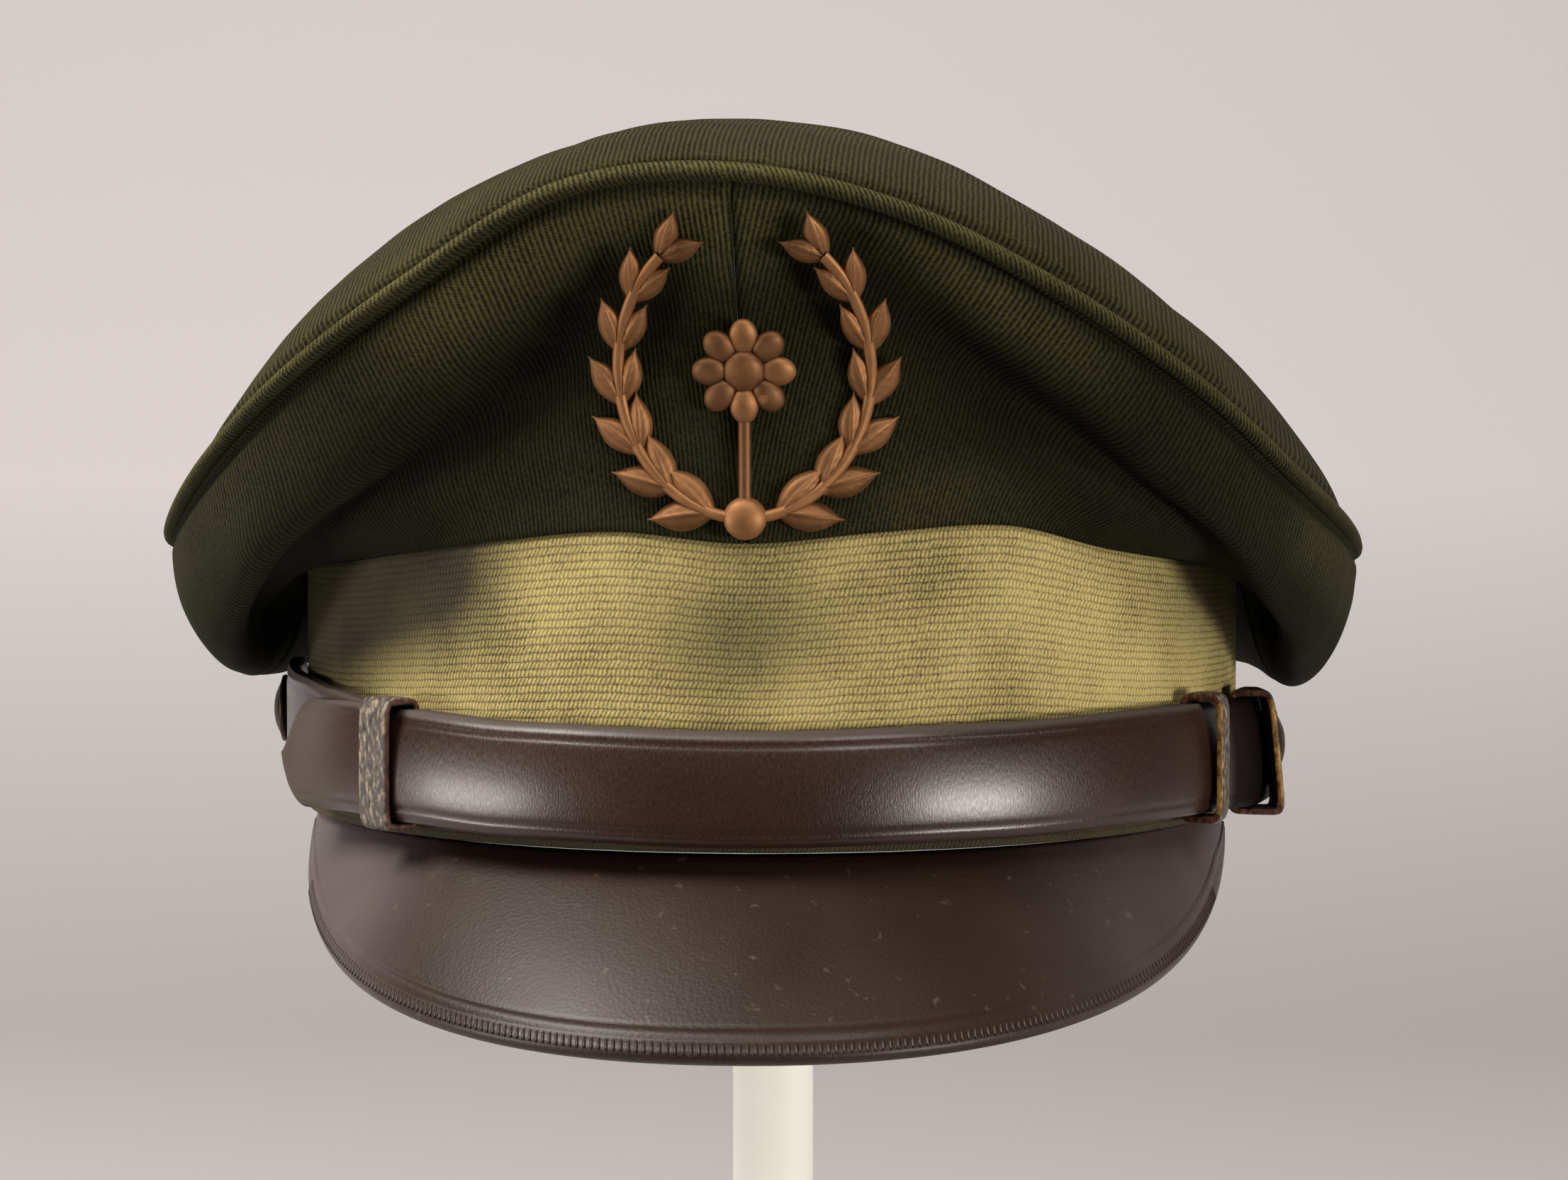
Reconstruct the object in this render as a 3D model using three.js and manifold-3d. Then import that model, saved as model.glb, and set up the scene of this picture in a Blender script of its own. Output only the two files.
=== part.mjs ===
// A peaked officer's cap with a soft, drooping crown, on a plain round display stand.
// Millimetres, +Z up. The origin is the centre of the stand's underside, and the cap faces -Y.
// Left and right are those of someone who faces the cap: left is -X.

import * as THREE from "three";
import { mergeVertices } from "three/addons/utils/BufferGeometryUtils.js";
import Module from "manifold-3d";

const wasm = await Module();
wasm.setup();

// Clearances between pieces that touch on the real cap
const seamGap = 0.3;
const seatGap = 0.3;

// Head oval, measured outside the band
const headWidth = 172;
const headLength = 206;

// Stand
const capHeight = 190; // from the floor to the band's lower edge
const baseDiameter = 180;
const baseThickness = 10;
const baseEdgeRadius = 3;
const postDiameter = 15;
const padDiameter = 84;
const padDomeRadius = 130;
const padRim = 6;
const padPlay = 0.7; // under the smooth top, whose flat facets hang a little lower

// Braid band
const bandHeight = 52;
const bandWall = 3;

// Crown
const clothWall = 2;
const crownWidth = 218;
const crownLeft = 1.6; // how far the loose crown hangs to the left of the head
const crownFront = 125; // from the head's centre to the welt
const crownBack = 138;
const frontRise = 60; // from the band's top to the welt, at the front
const crownPeak = 72; // from the band's top to the highest point
const peakForward = 25;
const peakLeft = 4;
const weltDiameter = 3.4;

// Visor
const visorLength = 44;
const visorWall = 2.4;
const visorReach = 80; // degrees from the front at which it runs out
const visorSlope = 39; // degrees below level, in front
const visorSideSlope = 62; // degrees below level, at its ends
const visorFan = 0.3; // share of the head's angle by which it fans out
const visorTuck = 2; // how far it goes in under the band
const visorSlopeBend = 1.8; // how late it turns steeper towards its ends, as a power
const visorBulge = 2;
const rimWidth = 3.4;
const rimRaise = 0.6;
const rimStep = 0.2; // share of the rim's width in which it rises

// Chin strap
const strapWidth = 19;
const strapWall = 1.8;
const strapCrown = 1.3;
const strapHeight = 10.4; // from the band's lower edge to the strap's middle
const strapEdge = 0.5;
const strapShoulder = { out: 0.7, up: 0.6 }; // shares of the crown and of the half width
const strapEndWidth = 0.25; // least width of a round end, as a share of the strap's
const strapTipPast = 38; // from the left keeper to the outer strap's free end
const innerStrapLift = 6; // how far the inner strap climbs to its button
const liftBend = 6; // how late it climbs, as a power of the angle's share

// Keepers, the leather loops round the straps
const keeperWidth = 7.7;
const keeperWall = 1.5;
const keeperPlay = 1.4; // above and below the strap
const looseKeeperWidth = 9;
const looseKeeperDepth = 8.5;

// Side buttons
const buttonDiameter = 12.5;
const buttonDome = 3.6;
const buttonRim = 0.25; // share of the dome's height at its edge
const buttonBack = 0.9; // the flat back's radius, as a share of the button's
const shankDiameter = 3;
const shankClearance = 0.4;

// Badge
const badgeWidth = 50;
const badgeHeight = 54;
const badgeWall = 1.4;
const badgeRing = 2.2;
const badgeStandoff = 0.8;
const badgeFoot = 1; // from the band's top to the badge
const leafLength = 11;
const leafWidth = 5.6;
const leafRelief = 1.1;
const leafLean = 26; // degrees from the stem
const leafPairs = 7; // on each side
const leafTaper = 0.3; // how much smaller the last leaves are
const wreathFoot = 16; // degrees from the wreath's foot to its first leaves
const wreathReach = 140; // degrees from the wreath's foot to its last leaves
const wreathInset = { across: 0.75, up: 0.5 }; // of the stem from the badge's edge, in leaf widths
const knotWidth = 7.2;
const knotHeight = 3.7;
const rosetteDiameter = 17;
const rosetteRelief = 2.4;
const petalCount = 8;
const petalDiameter = 5.8;
const bossDiameter = 7.2;
const badgeScrewDiameter = 3;

// Sections of the band and the crown, by the angle round the head from the front, right is plus.
// top: the band's height, as a share of bandHeight. rise: the welt's height over the band, as a
// share of frontRise. startTurn, endTurn: the panel's direction from the band and from the welt, in
// degrees, 0 outwards and 90 up. startPull, endPull: how far it keeps to them, as shares of
// frontRise. doming: how square the top is over that side, less is squarer.
const sectionColumns = ["angle", "top", "rise", "startTurn", "startPull", "endTurn", "endPull", "doming"];
const sections = [
  [-180, 0.88, 0.1, -40, 0.5, -92, 0.4, 0.8],
  [-150, 0.88, 0, -58, 0.6, -90, 0.34, 0.8],
  [-120, 0.88, -0.06, -74, 0.72, -87, 0.3, 0.76],
  [-90, 0.88, -0.07, -86, 0.78, -78, 0.26, 0.84],
  [-75, 0.88, 0, -76, 0.68, -86, 0.3, 0.84],
  [-60, 0.89, 0.195, -40, 0.42, -100, 0.4, 0.78],
  [-45, 0.935, 0.445, 15, 0.3, -112, 0.44, 0.71],
  [-30, 0.99, 0.7, 66, 0.34, -121, 0.46, 0.64],
  [-15, 1.03, 0.95, 84, 0.38, -126, 0.5, 0.56],
  [0, 0.995, 1, 88, 0.4, -128, 0.5, 0.52],
  [15, 1.03, 0.895, 84, 0.38, -126, 0.5, 0.56],
  [30, 1.045, 0.675, 66, 0.34, -121, 0.46, 0.64],
  [45, 0.955, 0.42, 15, 0.3, -112, 0.44, 0.72],
  [60, 0.9, 0.165, -40, 0.42, -100, 0.4, 0.78],
  [75, 0.88, 0, -76, 0.68, -84, 0.3, 0.8],
  [90, 0.88, -0.1, -86, 0.8, -74, 0.28, 0.8],
  [120, 0.88, -0.08, -74, 0.72, -87, 0.3, 0.8],
  [150, 0.88, -0.02, -58, 0.6, -90, 0.34, 0.8],
].map((row) => Object.fromEntries(row.map((value, k) => [sectionColumns[k], value])));

// Soft hollows pressed into the band: angle and spread in degrees, depth as a share of bandHeight
const bandHollows = [
  { angle: -3, spread: 9, depth: 0.034 },
  { angle: -41, spread: 10, depth: 0.02 },
  { angle: 38, spread: 9, depth: 0.026 },
  { angle: 112, spread: 16, depth: 0.02 },
  { angle: -150, spread: 18, depth: 0.02 },
];

// Folds and dents of the side panels: angle and spread in degrees, up and upSpread as shares of the
// way from the band to the welt, depth as a share of frontRise, minus stands out
const panelFolds = [
  { angle: -27, spread: 9, up: 0.5, upSpread: 0.25, depth: 0.04 },
  { angle: 29, spread: 10, up: 0.5, upSpread: 0.25, depth: 0.05 },
  { angle: -55, spread: 7, up: 0.62, upSpread: 0.2, depth: -0.03 },
  { angle: 52, spread: 7, up: 0.6, upSpread: 0.2, depth: -0.03 },
  { angle: -108, spread: 8, up: 0.6, upSpread: 0.22, depth: 0.05 },
  { angle: 118, spread: 9, up: 0.6, upSpread: 0.22, depth: 0.05 },
  { angle: 160, spread: 10, up: 0.55, upSpread: 0.25, depth: 0.045 },
  { angle: -152, spread: 10, up: 0.55, upSpread: 0.25, depth: 0.04 },
];

// Dents of the top panel: angle and spread in degrees, out and outSpread as shares of the way from
// the peak to the welt, depth as a share of crownPeak
const topDents = [
  { angle: 70, spread: 26, out: 0.62, outSpread: 0.24, depth: 0.045 },
  { angle: -115, spread: 24, out: 0.66, outSpread: 0.22, depth: 0.05 },
  { angle: 150, spread: 22, out: 0.6, outSpread: 0.24, depth: 0.06 },
  { angle: -168, spread: 16, out: 0.72, outSpread: 0.2, depth: 0.04 },
];

// Steps of the meshes
const sideSteps = 13;
const panelSteps = 10;
const topSteps = 8;
const ringSteps = 52;
const weltSides = 6;
const bandSteps = 4;
const visorSteps = 28;
const visorDepthSteps = 5;
const strapSteps = 38;
const roundSteps = 28;

const cloth = { color: 0x3c3a27, roughness: 0.95, metalness: 0 };
const braid = { color: 0x8f8350, roughness: 0.9, metalness: 0 };
const visorLeather = { color: 0x4a3531, roughness: 0.5, metalness: 0 };
const strapLeather = { color: 0x4a302c, roughness: 0.28, metalness: 0 };
const edgeLeather = { color: 0x7a5a3a, roughness: 0.7, metalness: 0 };
const darkBronze = { color: 0x2a2420, roughness: 0.45, metalness: 0.8 };
const copper = { color: 0xa8693c, roughness: 0.4, metalness: 0.9 };
const offWhite = { color: 0xe4e4d6, roughness: 0.5, metalness: 0 };

const radians = THREE.MathUtils.degToRad;
const halfWidth = headWidth / 2;
const halfLength = headLength / 2;
const weltGap = weltDiameter / 2 + seamGap;

// A difference of two angles, taken the short way round
function turnBetween(a, b) {
  return ((((a - b) % 360) + 540) % 360) - 180;
}

function bell(distance) {
  return Math.exp(-distance * distance);
}

// One column of the sections, joined by a smooth curve that closes round the head
function column(name, angle) {
  const count = sections.length;
  const turned = ((((angle + 180) % 360) + 360) % 360) - 180;
  let last = count - 1;
  while (last > 0 && sections[last].angle > turned) last -= 1;
  const at = (k) => {
    const wrapped = ((k % count) + count) % count;
    return { angle: sections[wrapped].angle + 360 * Math.floor(k / count), value: sections[wrapped][name] };
  };
  const [before, from, to, after] = [at(last - 1), at(last), at(last + 1), at(last + 2)];
  const span = to.angle - from.angle;
  const share = (turned - from.angle) / span;
  const slopeFrom = ((to.value - before.value) / (to.angle - before.angle)) * span;
  const slopeTo = ((after.value - from.value) / (after.angle - from.angle)) * span;
  const s2 = share * share;
  const s3 = s2 * share;
  const hermite = (2 * s3 - 3 * s2 + 1) * from.value + (s3 - 2 * s2 + share) * slopeFrom;
  return hermite + (3 * s2 - 2 * s3) * to.value + (s3 - s2) * slopeTo;
}

// The head oval, moved out by an offset square to itself, at a height over the band's lower edge
function ovalNormal(angle) {
  const a = radians(angle);
  return new THREE.Vector3(Math.sin(a) / halfWidth, -Math.cos(a) / halfLength, 0).normalize();
}

function ovalPoint(angle, offset, height) {
  const a = radians(angle);
  const point = new THREE.Vector3(halfWidth * Math.sin(a), -halfLength * Math.cos(a), capHeight + height);
  return point.addScaledVector(ovalNormal(angle), offset);
}

// A closed mesh from a list of points and triangles, with its faces turned outwards
function closedMesh(points, triangles) {
  const loose = new THREE.BufferGeometry().setFromPoints(points);
  loose.setIndex(triangles.flat());
  const merged = mergeVertices(loose, 1e-3);
  const index = merged.index.array;
  const kept = [];
  for (let i = 0; i < index.length; i += 3) {
    const [a, b, c] = [index[i], index[i + 1], index[i + 2]];
    if (a !== b && b !== c && c !== a) kept.push(a, b, c);
  }
  const position = merged.getAttribute("position");
  const corner = (k) => new THREE.Vector3().fromBufferAttribute(position, kept[k]);
  let volume = 0;
  for (let i = 0; i < kept.length; i += 3) volume += corner(i).dot(corner(i + 1).cross(corner(i + 2)));
  merged.setIndex(volume < 0 ? kept.reverse() : kept);
  merged.computeVertexNormals();
  return merged;
}

// A wall between two grids of points, row by row; closed says that the columns run into a ring
function wall(outer, inner, closed) {
  const rows = outer.length;
  const columns = outer[0].length;
  const points = [...outer.flat(), ...inner.flat()];
  const id = (layer, row, col) => layer * rows * columns + row * columns + (col % columns);
  const triangles = [];
  const quad = (a, b, c, d) => triangles.push([a, b, c], [a, c, d]);
  const spans = closed ? columns : columns - 1;
  for (let col = 0; col < spans; col += 1) {
    for (let row = 0; row < rows - 1; row += 1) {
      quad(id(0, row, col), id(0, row, col + 1), id(0, row + 1, col + 1), id(0, row + 1, col));
      quad(id(1, row, col), id(1, row + 1, col), id(1, row + 1, col + 1), id(1, row, col + 1));
    }
    quad(id(0, 0, col), id(1, 0, col), id(1, 0, col + 1), id(0, 0, col + 1));
    quad(id(0, rows - 1, col), id(0, rows - 1, col + 1), id(1, rows - 1, col + 1), id(1, rows - 1, col));
  }
  if (!closed) {
    for (let row = 0; row < rows - 1; row += 1) {
      quad(id(0, row, 0), id(0, row + 1, 0), id(1, row + 1, 0), id(1, row, 0));
      const end = columns - 1;
      quad(id(0, row, end), id(1, row, end), id(1, row + 1, end), id(0, row + 1, end));
    }
  }
  return closedMesh(points, triangles);
}

// A solid swept through rings of points that all have the same count, capped unless it is closed
function sweep(rings, closed) {
  const sides = rings[0].length;
  const points = rings.flat();
  const triangles = [];
  const spans = closed ? rings.length : rings.length - 1;
  for (let ring = 0; ring < spans; ring += 1) {
    const next = (ring + 1) % rings.length;
    for (let side = 0; side < sides; side += 1) {
      const over = (side + 1) % sides;
      const [a, b] = [ring * sides + side, ring * sides + over];
      const [c, d] = [next * sides + over, next * sides + side];
      triangles.push([a, b, c], [a, c, d]);
    }
  }
  if (!closed) {
    const lastRing = (rings.length - 1) * sides;
    for (let side = 1; side < sides - 1; side += 1) {
      triangles.push([0, side + 1, side]);
      triangles.push([lastRing, lastRing + side, lastRing + side + 1]);
    }
  }
  return closedMesh(points, triangles);
}

function steps(count, from, to) {
  return Array.from({ length: count + 1 }, (_, k) => from + ((to - from) * k) / count);
}

// The point under a surface's own point, a depth inside its outer face
function inset(surface, u, v, depth, sign) {
  const du = 0.05;
  const dv = 0.002;
  const along = surface(u + du, v).sub(surface(u - du, v));
  const up = surface(u, v + dv).sub(surface(u, v - dv));
  const normal = along.cross(up).normalize();
  return surface(u, v).addScaledVector(normal, -depth * sign);
}

// Conversions between three.js meshes and solids that can be joined and cut
function toSolid(geometry) {
  const bare = geometry.clone();
  for (const name of Object.keys(bare.attributes)) {
    if (name !== "position") bare.deleteAttribute(name);
  }
  const merged = mergeVertices(bare, 1e-4);
  const vertProperties = Float32Array.from(merged.getAttribute("position").array);
  const triVerts = Uint32Array.from(merged.index.array);
  return new wasm.Manifold(new wasm.Mesh({ numProp: 3, vertProperties, triVerts }));
}

function toGeometry(solid) {
  const mesh = solid.getMesh();
  const geometry = new THREE.BufferGeometry();
  geometry.setAttribute("position", new THREE.Float32BufferAttribute(mesh.vertProperties, mesh.numProp));
  geometry.setIndex([...mesh.triVerts]);
  geometry.computeVertexNormals();
  return geometry;
}

// Band

function bandTop(angle) {
  return bandHeight * column("top", angle);
}

function bandHollow(angle, up) {
  const middle = Math.sin(Math.PI * up);
  let depth = 0;
  for (const hollow of bandHollows) {
    depth += hollow.depth * bandHeight * bell(turnBetween(angle, hollow.angle) / hollow.spread) * middle;
  }
  return depth;
}

function bandGeometry() {
  const angles = steps(ringSteps, -180, 180).slice(0, -1);
  const face = (offset) =>
    steps(bandSteps, 0, 1).map((up) =>
      angles.map((angle) => ovalPoint(angle, offset - bandHollow(angle, up), bandTop(angle) * up)),
    );
  return wall(face(0), face(-bandWall), true);
}

// Crown

function weltPoint(angle) {
  const a = radians(angle);
  const length = Math.cos(a) > 0 ? crownFront : crownBack;
  const height = capHeight + bandTop(0) + frontRise * column("rise", angle);
  return new THREE.Vector3((crownWidth / 2) * Math.sin(a) - crownLeft, -length * Math.cos(a), height);
}

// A side panel's outer face: a curve from the band's top edge to the welt, as up goes from 0 to 1
function panelPoint(angle, up) {
  const start = ovalPoint(angle, seamGap, bandTop(angle) + seamGap);
  const end = weltPoint(angle);
  const outwards = ovalNormal(angle);
  const pulled = (from, turn, pull) =>
    from
      .clone()
      .addScaledVector(outwards, frontRise * pull * Math.cos(radians(turn)))
      .add(new THREE.Vector3(0, 0, frontRise * pull * Math.sin(radians(turn))));
  const first = pulled(start, column("startTurn", angle), column("startPull", angle));
  const second = pulled(end, column("endTurn", angle), column("endPull", angle));
  const point = new THREE.CubicBezierCurve3(start, first, second, end).getPoint(up);
  let depth = 0;
  for (const fold of panelFolds) {
    const aside = bell(turnBetween(angle, fold.angle) / fold.spread);
    depth += fold.depth * frontRise * aside * bell((up - fold.up) / fold.upSpread);
  }
  return point.addScaledVector(outwards, -depth * Math.sin(Math.PI * up));
}

// The top panel's outer face, as out goes from 0 at the peak to 1 at the welt
function topPoint(angle, out) {
  const edge = weltPoint(angle);
  const peak = new THREE.Vector3(-peakLeft, -peakForward, capHeight + bandTop(0) + crownPeak);
  const share = Math.min(Math.abs(out), 1);
  const height = Math.pow(1 - share * share, column("doming", angle));
  let depth = 0;
  for (const dent of topDents) {
    const aside = bell(turnBetween(angle, dent.angle) / dent.spread);
    depth += dent.depth * crownPeak * aside * bell((share - dent.out) / dent.outSpread);
  }
  const point = peak.clone().lerp(edge, out);
  point.z = edge.z + (peak.z - edge.z) * height - depth * Math.sin(Math.PI * share);
  return point;
}

// The share of a curve at which it comes to a distance from its end
function shareAtDistance(curve, distance) {
  const end = curve(1);
  let [low, high] = [0.5, 1];
  for (let round = 0; round < 30; round += 1) {
    const middle = (low + high) / 2;
    if (curve(middle).distanceTo(end) > distance) low = middle;
    else high = middle;
  }
  return low;
}

function panelGeometry(from, to) {
  const seam = THREE.MathUtils.radToDeg(seamGap / 2 / crownFront);
  const angles = steps(sideSteps, from + seam, to - seam);
  const rows = steps(panelSteps, 0, 1);
  const reach = angles.map((angle) => shareAtDistance((up) => panelPoint(angle, up), weltGap));
  const face = (depth) =>
    rows.map((row) => angles.map((angle, k) => inset(panelPoint, angle, row * reach[k], depth, 1)));
  return wall(face(0), face(clothWall), false);
}

function topGeometry() {
  const angles = steps(ringSteps, -180, 180).slice(0, -1);
  const rows = steps(topSteps, 0, 1).map((row) => Math.sin((row * Math.PI) / 2));
  const reach = angles.map((angle) => shareAtDistance((out) => topPoint(angle, out), weltGap));
  const face = (depth) =>
    rows.map((row) =>
      angles.map((angle, k) => {
        if (row === 0) return topPoint(angle, 0).add(new THREE.Vector3(0, 0, -depth));
        return inset(topPoint, angle, row * reach[k], depth, -1);
      }),
    );
  return wall(face(0), face(clothWall), true);
}

function weltGeometry() {
  const angles = steps(ringSteps, -180, 180).slice(0, -1);
  const rings = angles.map((angle) => {
    const outwards = ovalNormal(angle);
    return steps(weltSides, 0, 2 * Math.PI)
      .slice(0, -1)
      .map((turn) =>
        weltPoint(angle)
          .addScaledVector(outwards, (weltDiameter / 2) * Math.cos(turn))
          .add(new THREE.Vector3(0, 0, (weltDiameter / 2) * Math.sin(turn))),
      );
  });
  return sweep(rings, true);
}

// Visor

function visorPoint(angle, out, depth) {
  const share = Math.abs(angle) / visorReach;
  const length = visorTuck + visorLength * (1 - share * share);
  const slope = radians(visorSlope + (visorSideSlope - visorSlope) * Math.pow(share, visorSlopeBend));
  const fan = radians(angle * visorFan);
  const outwards = new THREE.Vector3(Math.sin(fan), -Math.cos(fan), 0);
  const along = outwards.clone().multiplyScalar(Math.cos(slope));
  along.z = -Math.sin(slope);
  const square = outwards.multiplyScalar(Math.sin(slope));
  square.z = Math.cos(slope);
  const bulge = visorBulge * (1 - share) * Math.sin(Math.PI * out);
  const start = ovalPoint(angle, -visorTuck, -seatGap);
  return start.addScaledVector(along, length * out).addScaledVector(square, bulge - depth);
}

function visorGeometry() {
  const end = visorReach - THREE.MathUtils.radToDeg(rimWidth / halfLength);
  const angles = steps(visorSteps, -end, end);
  const rimShare = rimWidth / visorLength;
  const rows = [...steps(visorDepthSteps, 0, 1 - rimShare), 1 - rimShare * (1 - rimStep), 1];
  const raise = rows.map((row) => (row > 1 - rimShare ? rimRaise : 0));
  const face = (depth, lift) =>
    rows.map((row, k) => angles.map((angle) => visorPoint(angle, row, depth - lift * raise[k])));
  return wall(face(0, 1), face(visorWall, 0), false);
}

// Chin strap: two straps, each held by a button at one side, both running across the front

const keeperInner = seatGap + keeperWall + seatGap;
const innerStrapOffset = keeperInner;
const outerStrapOffset = innerStrapOffset + strapWall + seatGap;
const strapFace = outerStrapOffset + strapWall + strapCrown;
const keeperAngleLeft = -48;
const keeperAngleRight = 57;
const looseKeeperAngle = 74;
const buttonAngle = 88;
const strapEndPast = strapWidth / 2;

function climb(angle) {
  return innerStrapLift * Math.pow(Math.max(0, -angle) / buttonAngle, liftBend);
}

function strapSection(angle, offset, height, half, domed) {
  const rows = [
    [0, -1],
    [strapWall - strapEdge, -1],
    [strapWall + domed * strapShoulder.out, -strapShoulder.up],
    [strapWall + domed, 0],
    [strapWall + domed * strapShoulder.out, strapShoulder.up],
    [strapWall - strapEdge, 1],
    [0, 1],
  ];
  return rows.map(([out, up]) => ovalPoint(angle, offset + out, height + up * half));
}

// A strap between two angles, whose ends are round or cut square
function strapGeometry(from, to, offset, height, domed) {
  const length = radians(1) * halfLength;
  const rings = steps(strapSteps, 0, 1).map((share) => {
    const angle = THREE.MathUtils.lerp(from, to, (1 - Math.cos(share * Math.PI)) / 2);
    const toEnd = Math.min(angle - from, to - angle) * length;
    const round = Math.min(1, toEnd / strapEndPast);
    const half = (strapWidth / 2) * Math.max(strapEndWidth, Math.sqrt(1 - (1 - round) * (1 - round)));
    return strapSection(angle, offset, height(angle), half, domed);
  });
  return sweep(rings, false);
}

// A cylinder that lies square to the band at an angle, between two offsets
function shankGeometry(angle, height, diameter, from, to) {
  const rod = new THREE.CylinderGeometry(diameter / 2, diameter / 2, to - from, 16);
  rod.rotateZ(-Math.PI / 2);
  rod.translate((from + to) / 2, 0, 0);
  const normal = ovalNormal(angle);
  rod.rotateZ(Math.atan2(normal.y, normal.x));
  const seat = ovalPoint(angle, 0, height);
  return rod.translate(seat.x, seat.y, seat.z);
}

const middleHeight = () => strapHeight;
const innerHeight = (angle) => strapHeight + climb(angle);
const endAngle = THREE.MathUtils.radToDeg(strapEndPast / halfLength);

function drilled(strap, angle, height) {
  const diameter = shankDiameter + 2 * shankClearance;
  const drill = toSolid(shankGeometry(angle, height, diameter, 0, strapFace + strapWall));
  return toGeometry(toSolid(strap).subtract(drill));
}

function outerStrapGeometry() {
  const tip = keeperAngleLeft - THREE.MathUtils.radToDeg(strapTipPast / halfLength);
  const strap = strapGeometry(tip, buttonAngle + endAngle, outerStrapOffset, middleHeight, strapCrown);
  return drilled(strap, buttonAngle, middleHeight());
}

function innerStrapGeometry() {
  const tip = keeperAngleRight + 0.6 * endAngle;
  const strap = strapGeometry(-buttonAngle - endAngle, tip, innerStrapOffset, innerHeight, 0);
  return drilled(strap, -buttonAngle, innerHeight(-buttonAngle));
}

// The leather loops round the straps: two that fit, and one that stands off
const strapsDepth = strapFace + seatGap - (keeperInner - seatGap);
const keepers = [
  { name: "keeper_left", angle: keeperAngleLeft, depth: strapsDepth, width: keeperWidth },
  { name: "keeper_right", angle: keeperAngleRight, depth: strapsDepth, width: keeperWidth },
  { name: "keeper_loose", angle: looseKeeperAngle, depth: looseKeeperDepth, width: looseKeeperWidth },
];

// A loop: a frame in the plane across the strap, as wide as the loop
function keeperGeometry(angle, inner, depth, width) {
  const outer = inner + depth;
  const half = strapWidth / 2 + keeperPlay;
  const frame = new THREE.Shape();
  frame.moveTo(inner - keeperWall, -half - keeperWall);
  frame.lineTo(outer + keeperWall, -half - keeperWall);
  frame.lineTo(outer + keeperWall, half + keeperWall);
  frame.lineTo(inner - keeperWall, half + keeperWall);
  const hole = new THREE.Path();
  hole.moveTo(inner, -half);
  hole.lineTo(inner, half);
  hole.lineTo(outer, half);
  hole.lineTo(outer, -half);
  frame.holes.push(hole);
  const loop = new THREE.ExtrudeGeometry(frame, { depth: width, bevelEnabled: false });
  loop.translate(0, 0, -width / 2);
  loop.rotateX(Math.PI / 2);
  const normal = ovalNormal(angle);
  loop.rotateZ(Math.atan2(normal.y, normal.x));
  const seat = ovalPoint(angle, 0, strapHeight);
  return loop.translate(seat.x, seat.y, seat.z);
}

// The buttons, each over the strap that it holds
const innerFace = innerStrapOffset + strapWall;
const buttons = [
  { name: "side_button_left", angle: -buttonAngle, height: innerHeight(-buttonAngle), under: innerFace },
  { name: "side_button_right", angle: buttonAngle, height: middleHeight(), under: strapFace },
];

// A domed button with its shank, square to the band
function buttonGeometry(angle, height, under) {
  const radius = buttonDiameter / 2;
  const profile = [new THREE.Vector2(0, seatGap), new THREE.Vector2(shankDiameter / 2, seatGap)];
  const seat = under + seatGap;
  profile.push(new THREE.Vector2(shankDiameter / 2, seat));
  profile.push(new THREE.Vector2(radius * buttonBack, seat));
  for (const turn of steps(4, 0, Math.PI / 2)) {
    const rise = buttonDome * (buttonRim + (1 - buttonRim) * Math.sin(turn));
    profile.push(new THREE.Vector2(radius * Math.cos(turn), seat + rise));
  }
  profile[profile.length - 1].x = 0;
  const turned = new THREE.LatheGeometry(profile, 14);
  turned.rotateZ(-Math.PI / 2);
  const normal = ovalNormal(angle);
  turned.rotateZ(Math.atan2(normal.y, normal.x));
  const foot = ovalPoint(angle, 0, height);
  return turned.translate(foot.x, foot.y, foot.z);
}

// Badge: drawn flat, x across and y up from its middle, then laid on the front of the crown

// A pointed leaf with a flat back and a raised midrib, its foot at the origin. Each section has its
// place along the leaf and its width and midrib as shares of leafWidth and leafRelief.
const leafSections = [
  { along: 0, width: 0.12, rib: 0.45 },
  { along: 0.3, width: 0.9, rib: 0.93 },
  { along: 0.7, width: 0.72, rib: 0.81 },
  { along: 1, width: 0.12, rib: 0.16 },
];

function leafGeometry() {
  const rings = leafSections.map(({ along, width, rib }) => {
    const half = (width * leafWidth) / 2;
    const ridge = badgeWall + rib * leafRelief;
    const y = leafLength * along;
    return [new THREE.Vector3(-half, y, 0), new THREE.Vector3(half, y, 0), new THREE.Vector3(0, y, ridge)];
  });
  return sweep(rings, false);
}

// A point of the wreath's stem, by the angle round from its foot
function stemPoint(turn, side) {
  const rx = badgeWidth / 2 - leafWidth * wreathInset.across;
  const ry = badgeHeight / 2 - leafWidth * wreathInset.up;
  return new THREE.Vector2(side * rx * Math.sin(turn), -ry * Math.cos(turn));
}

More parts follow.
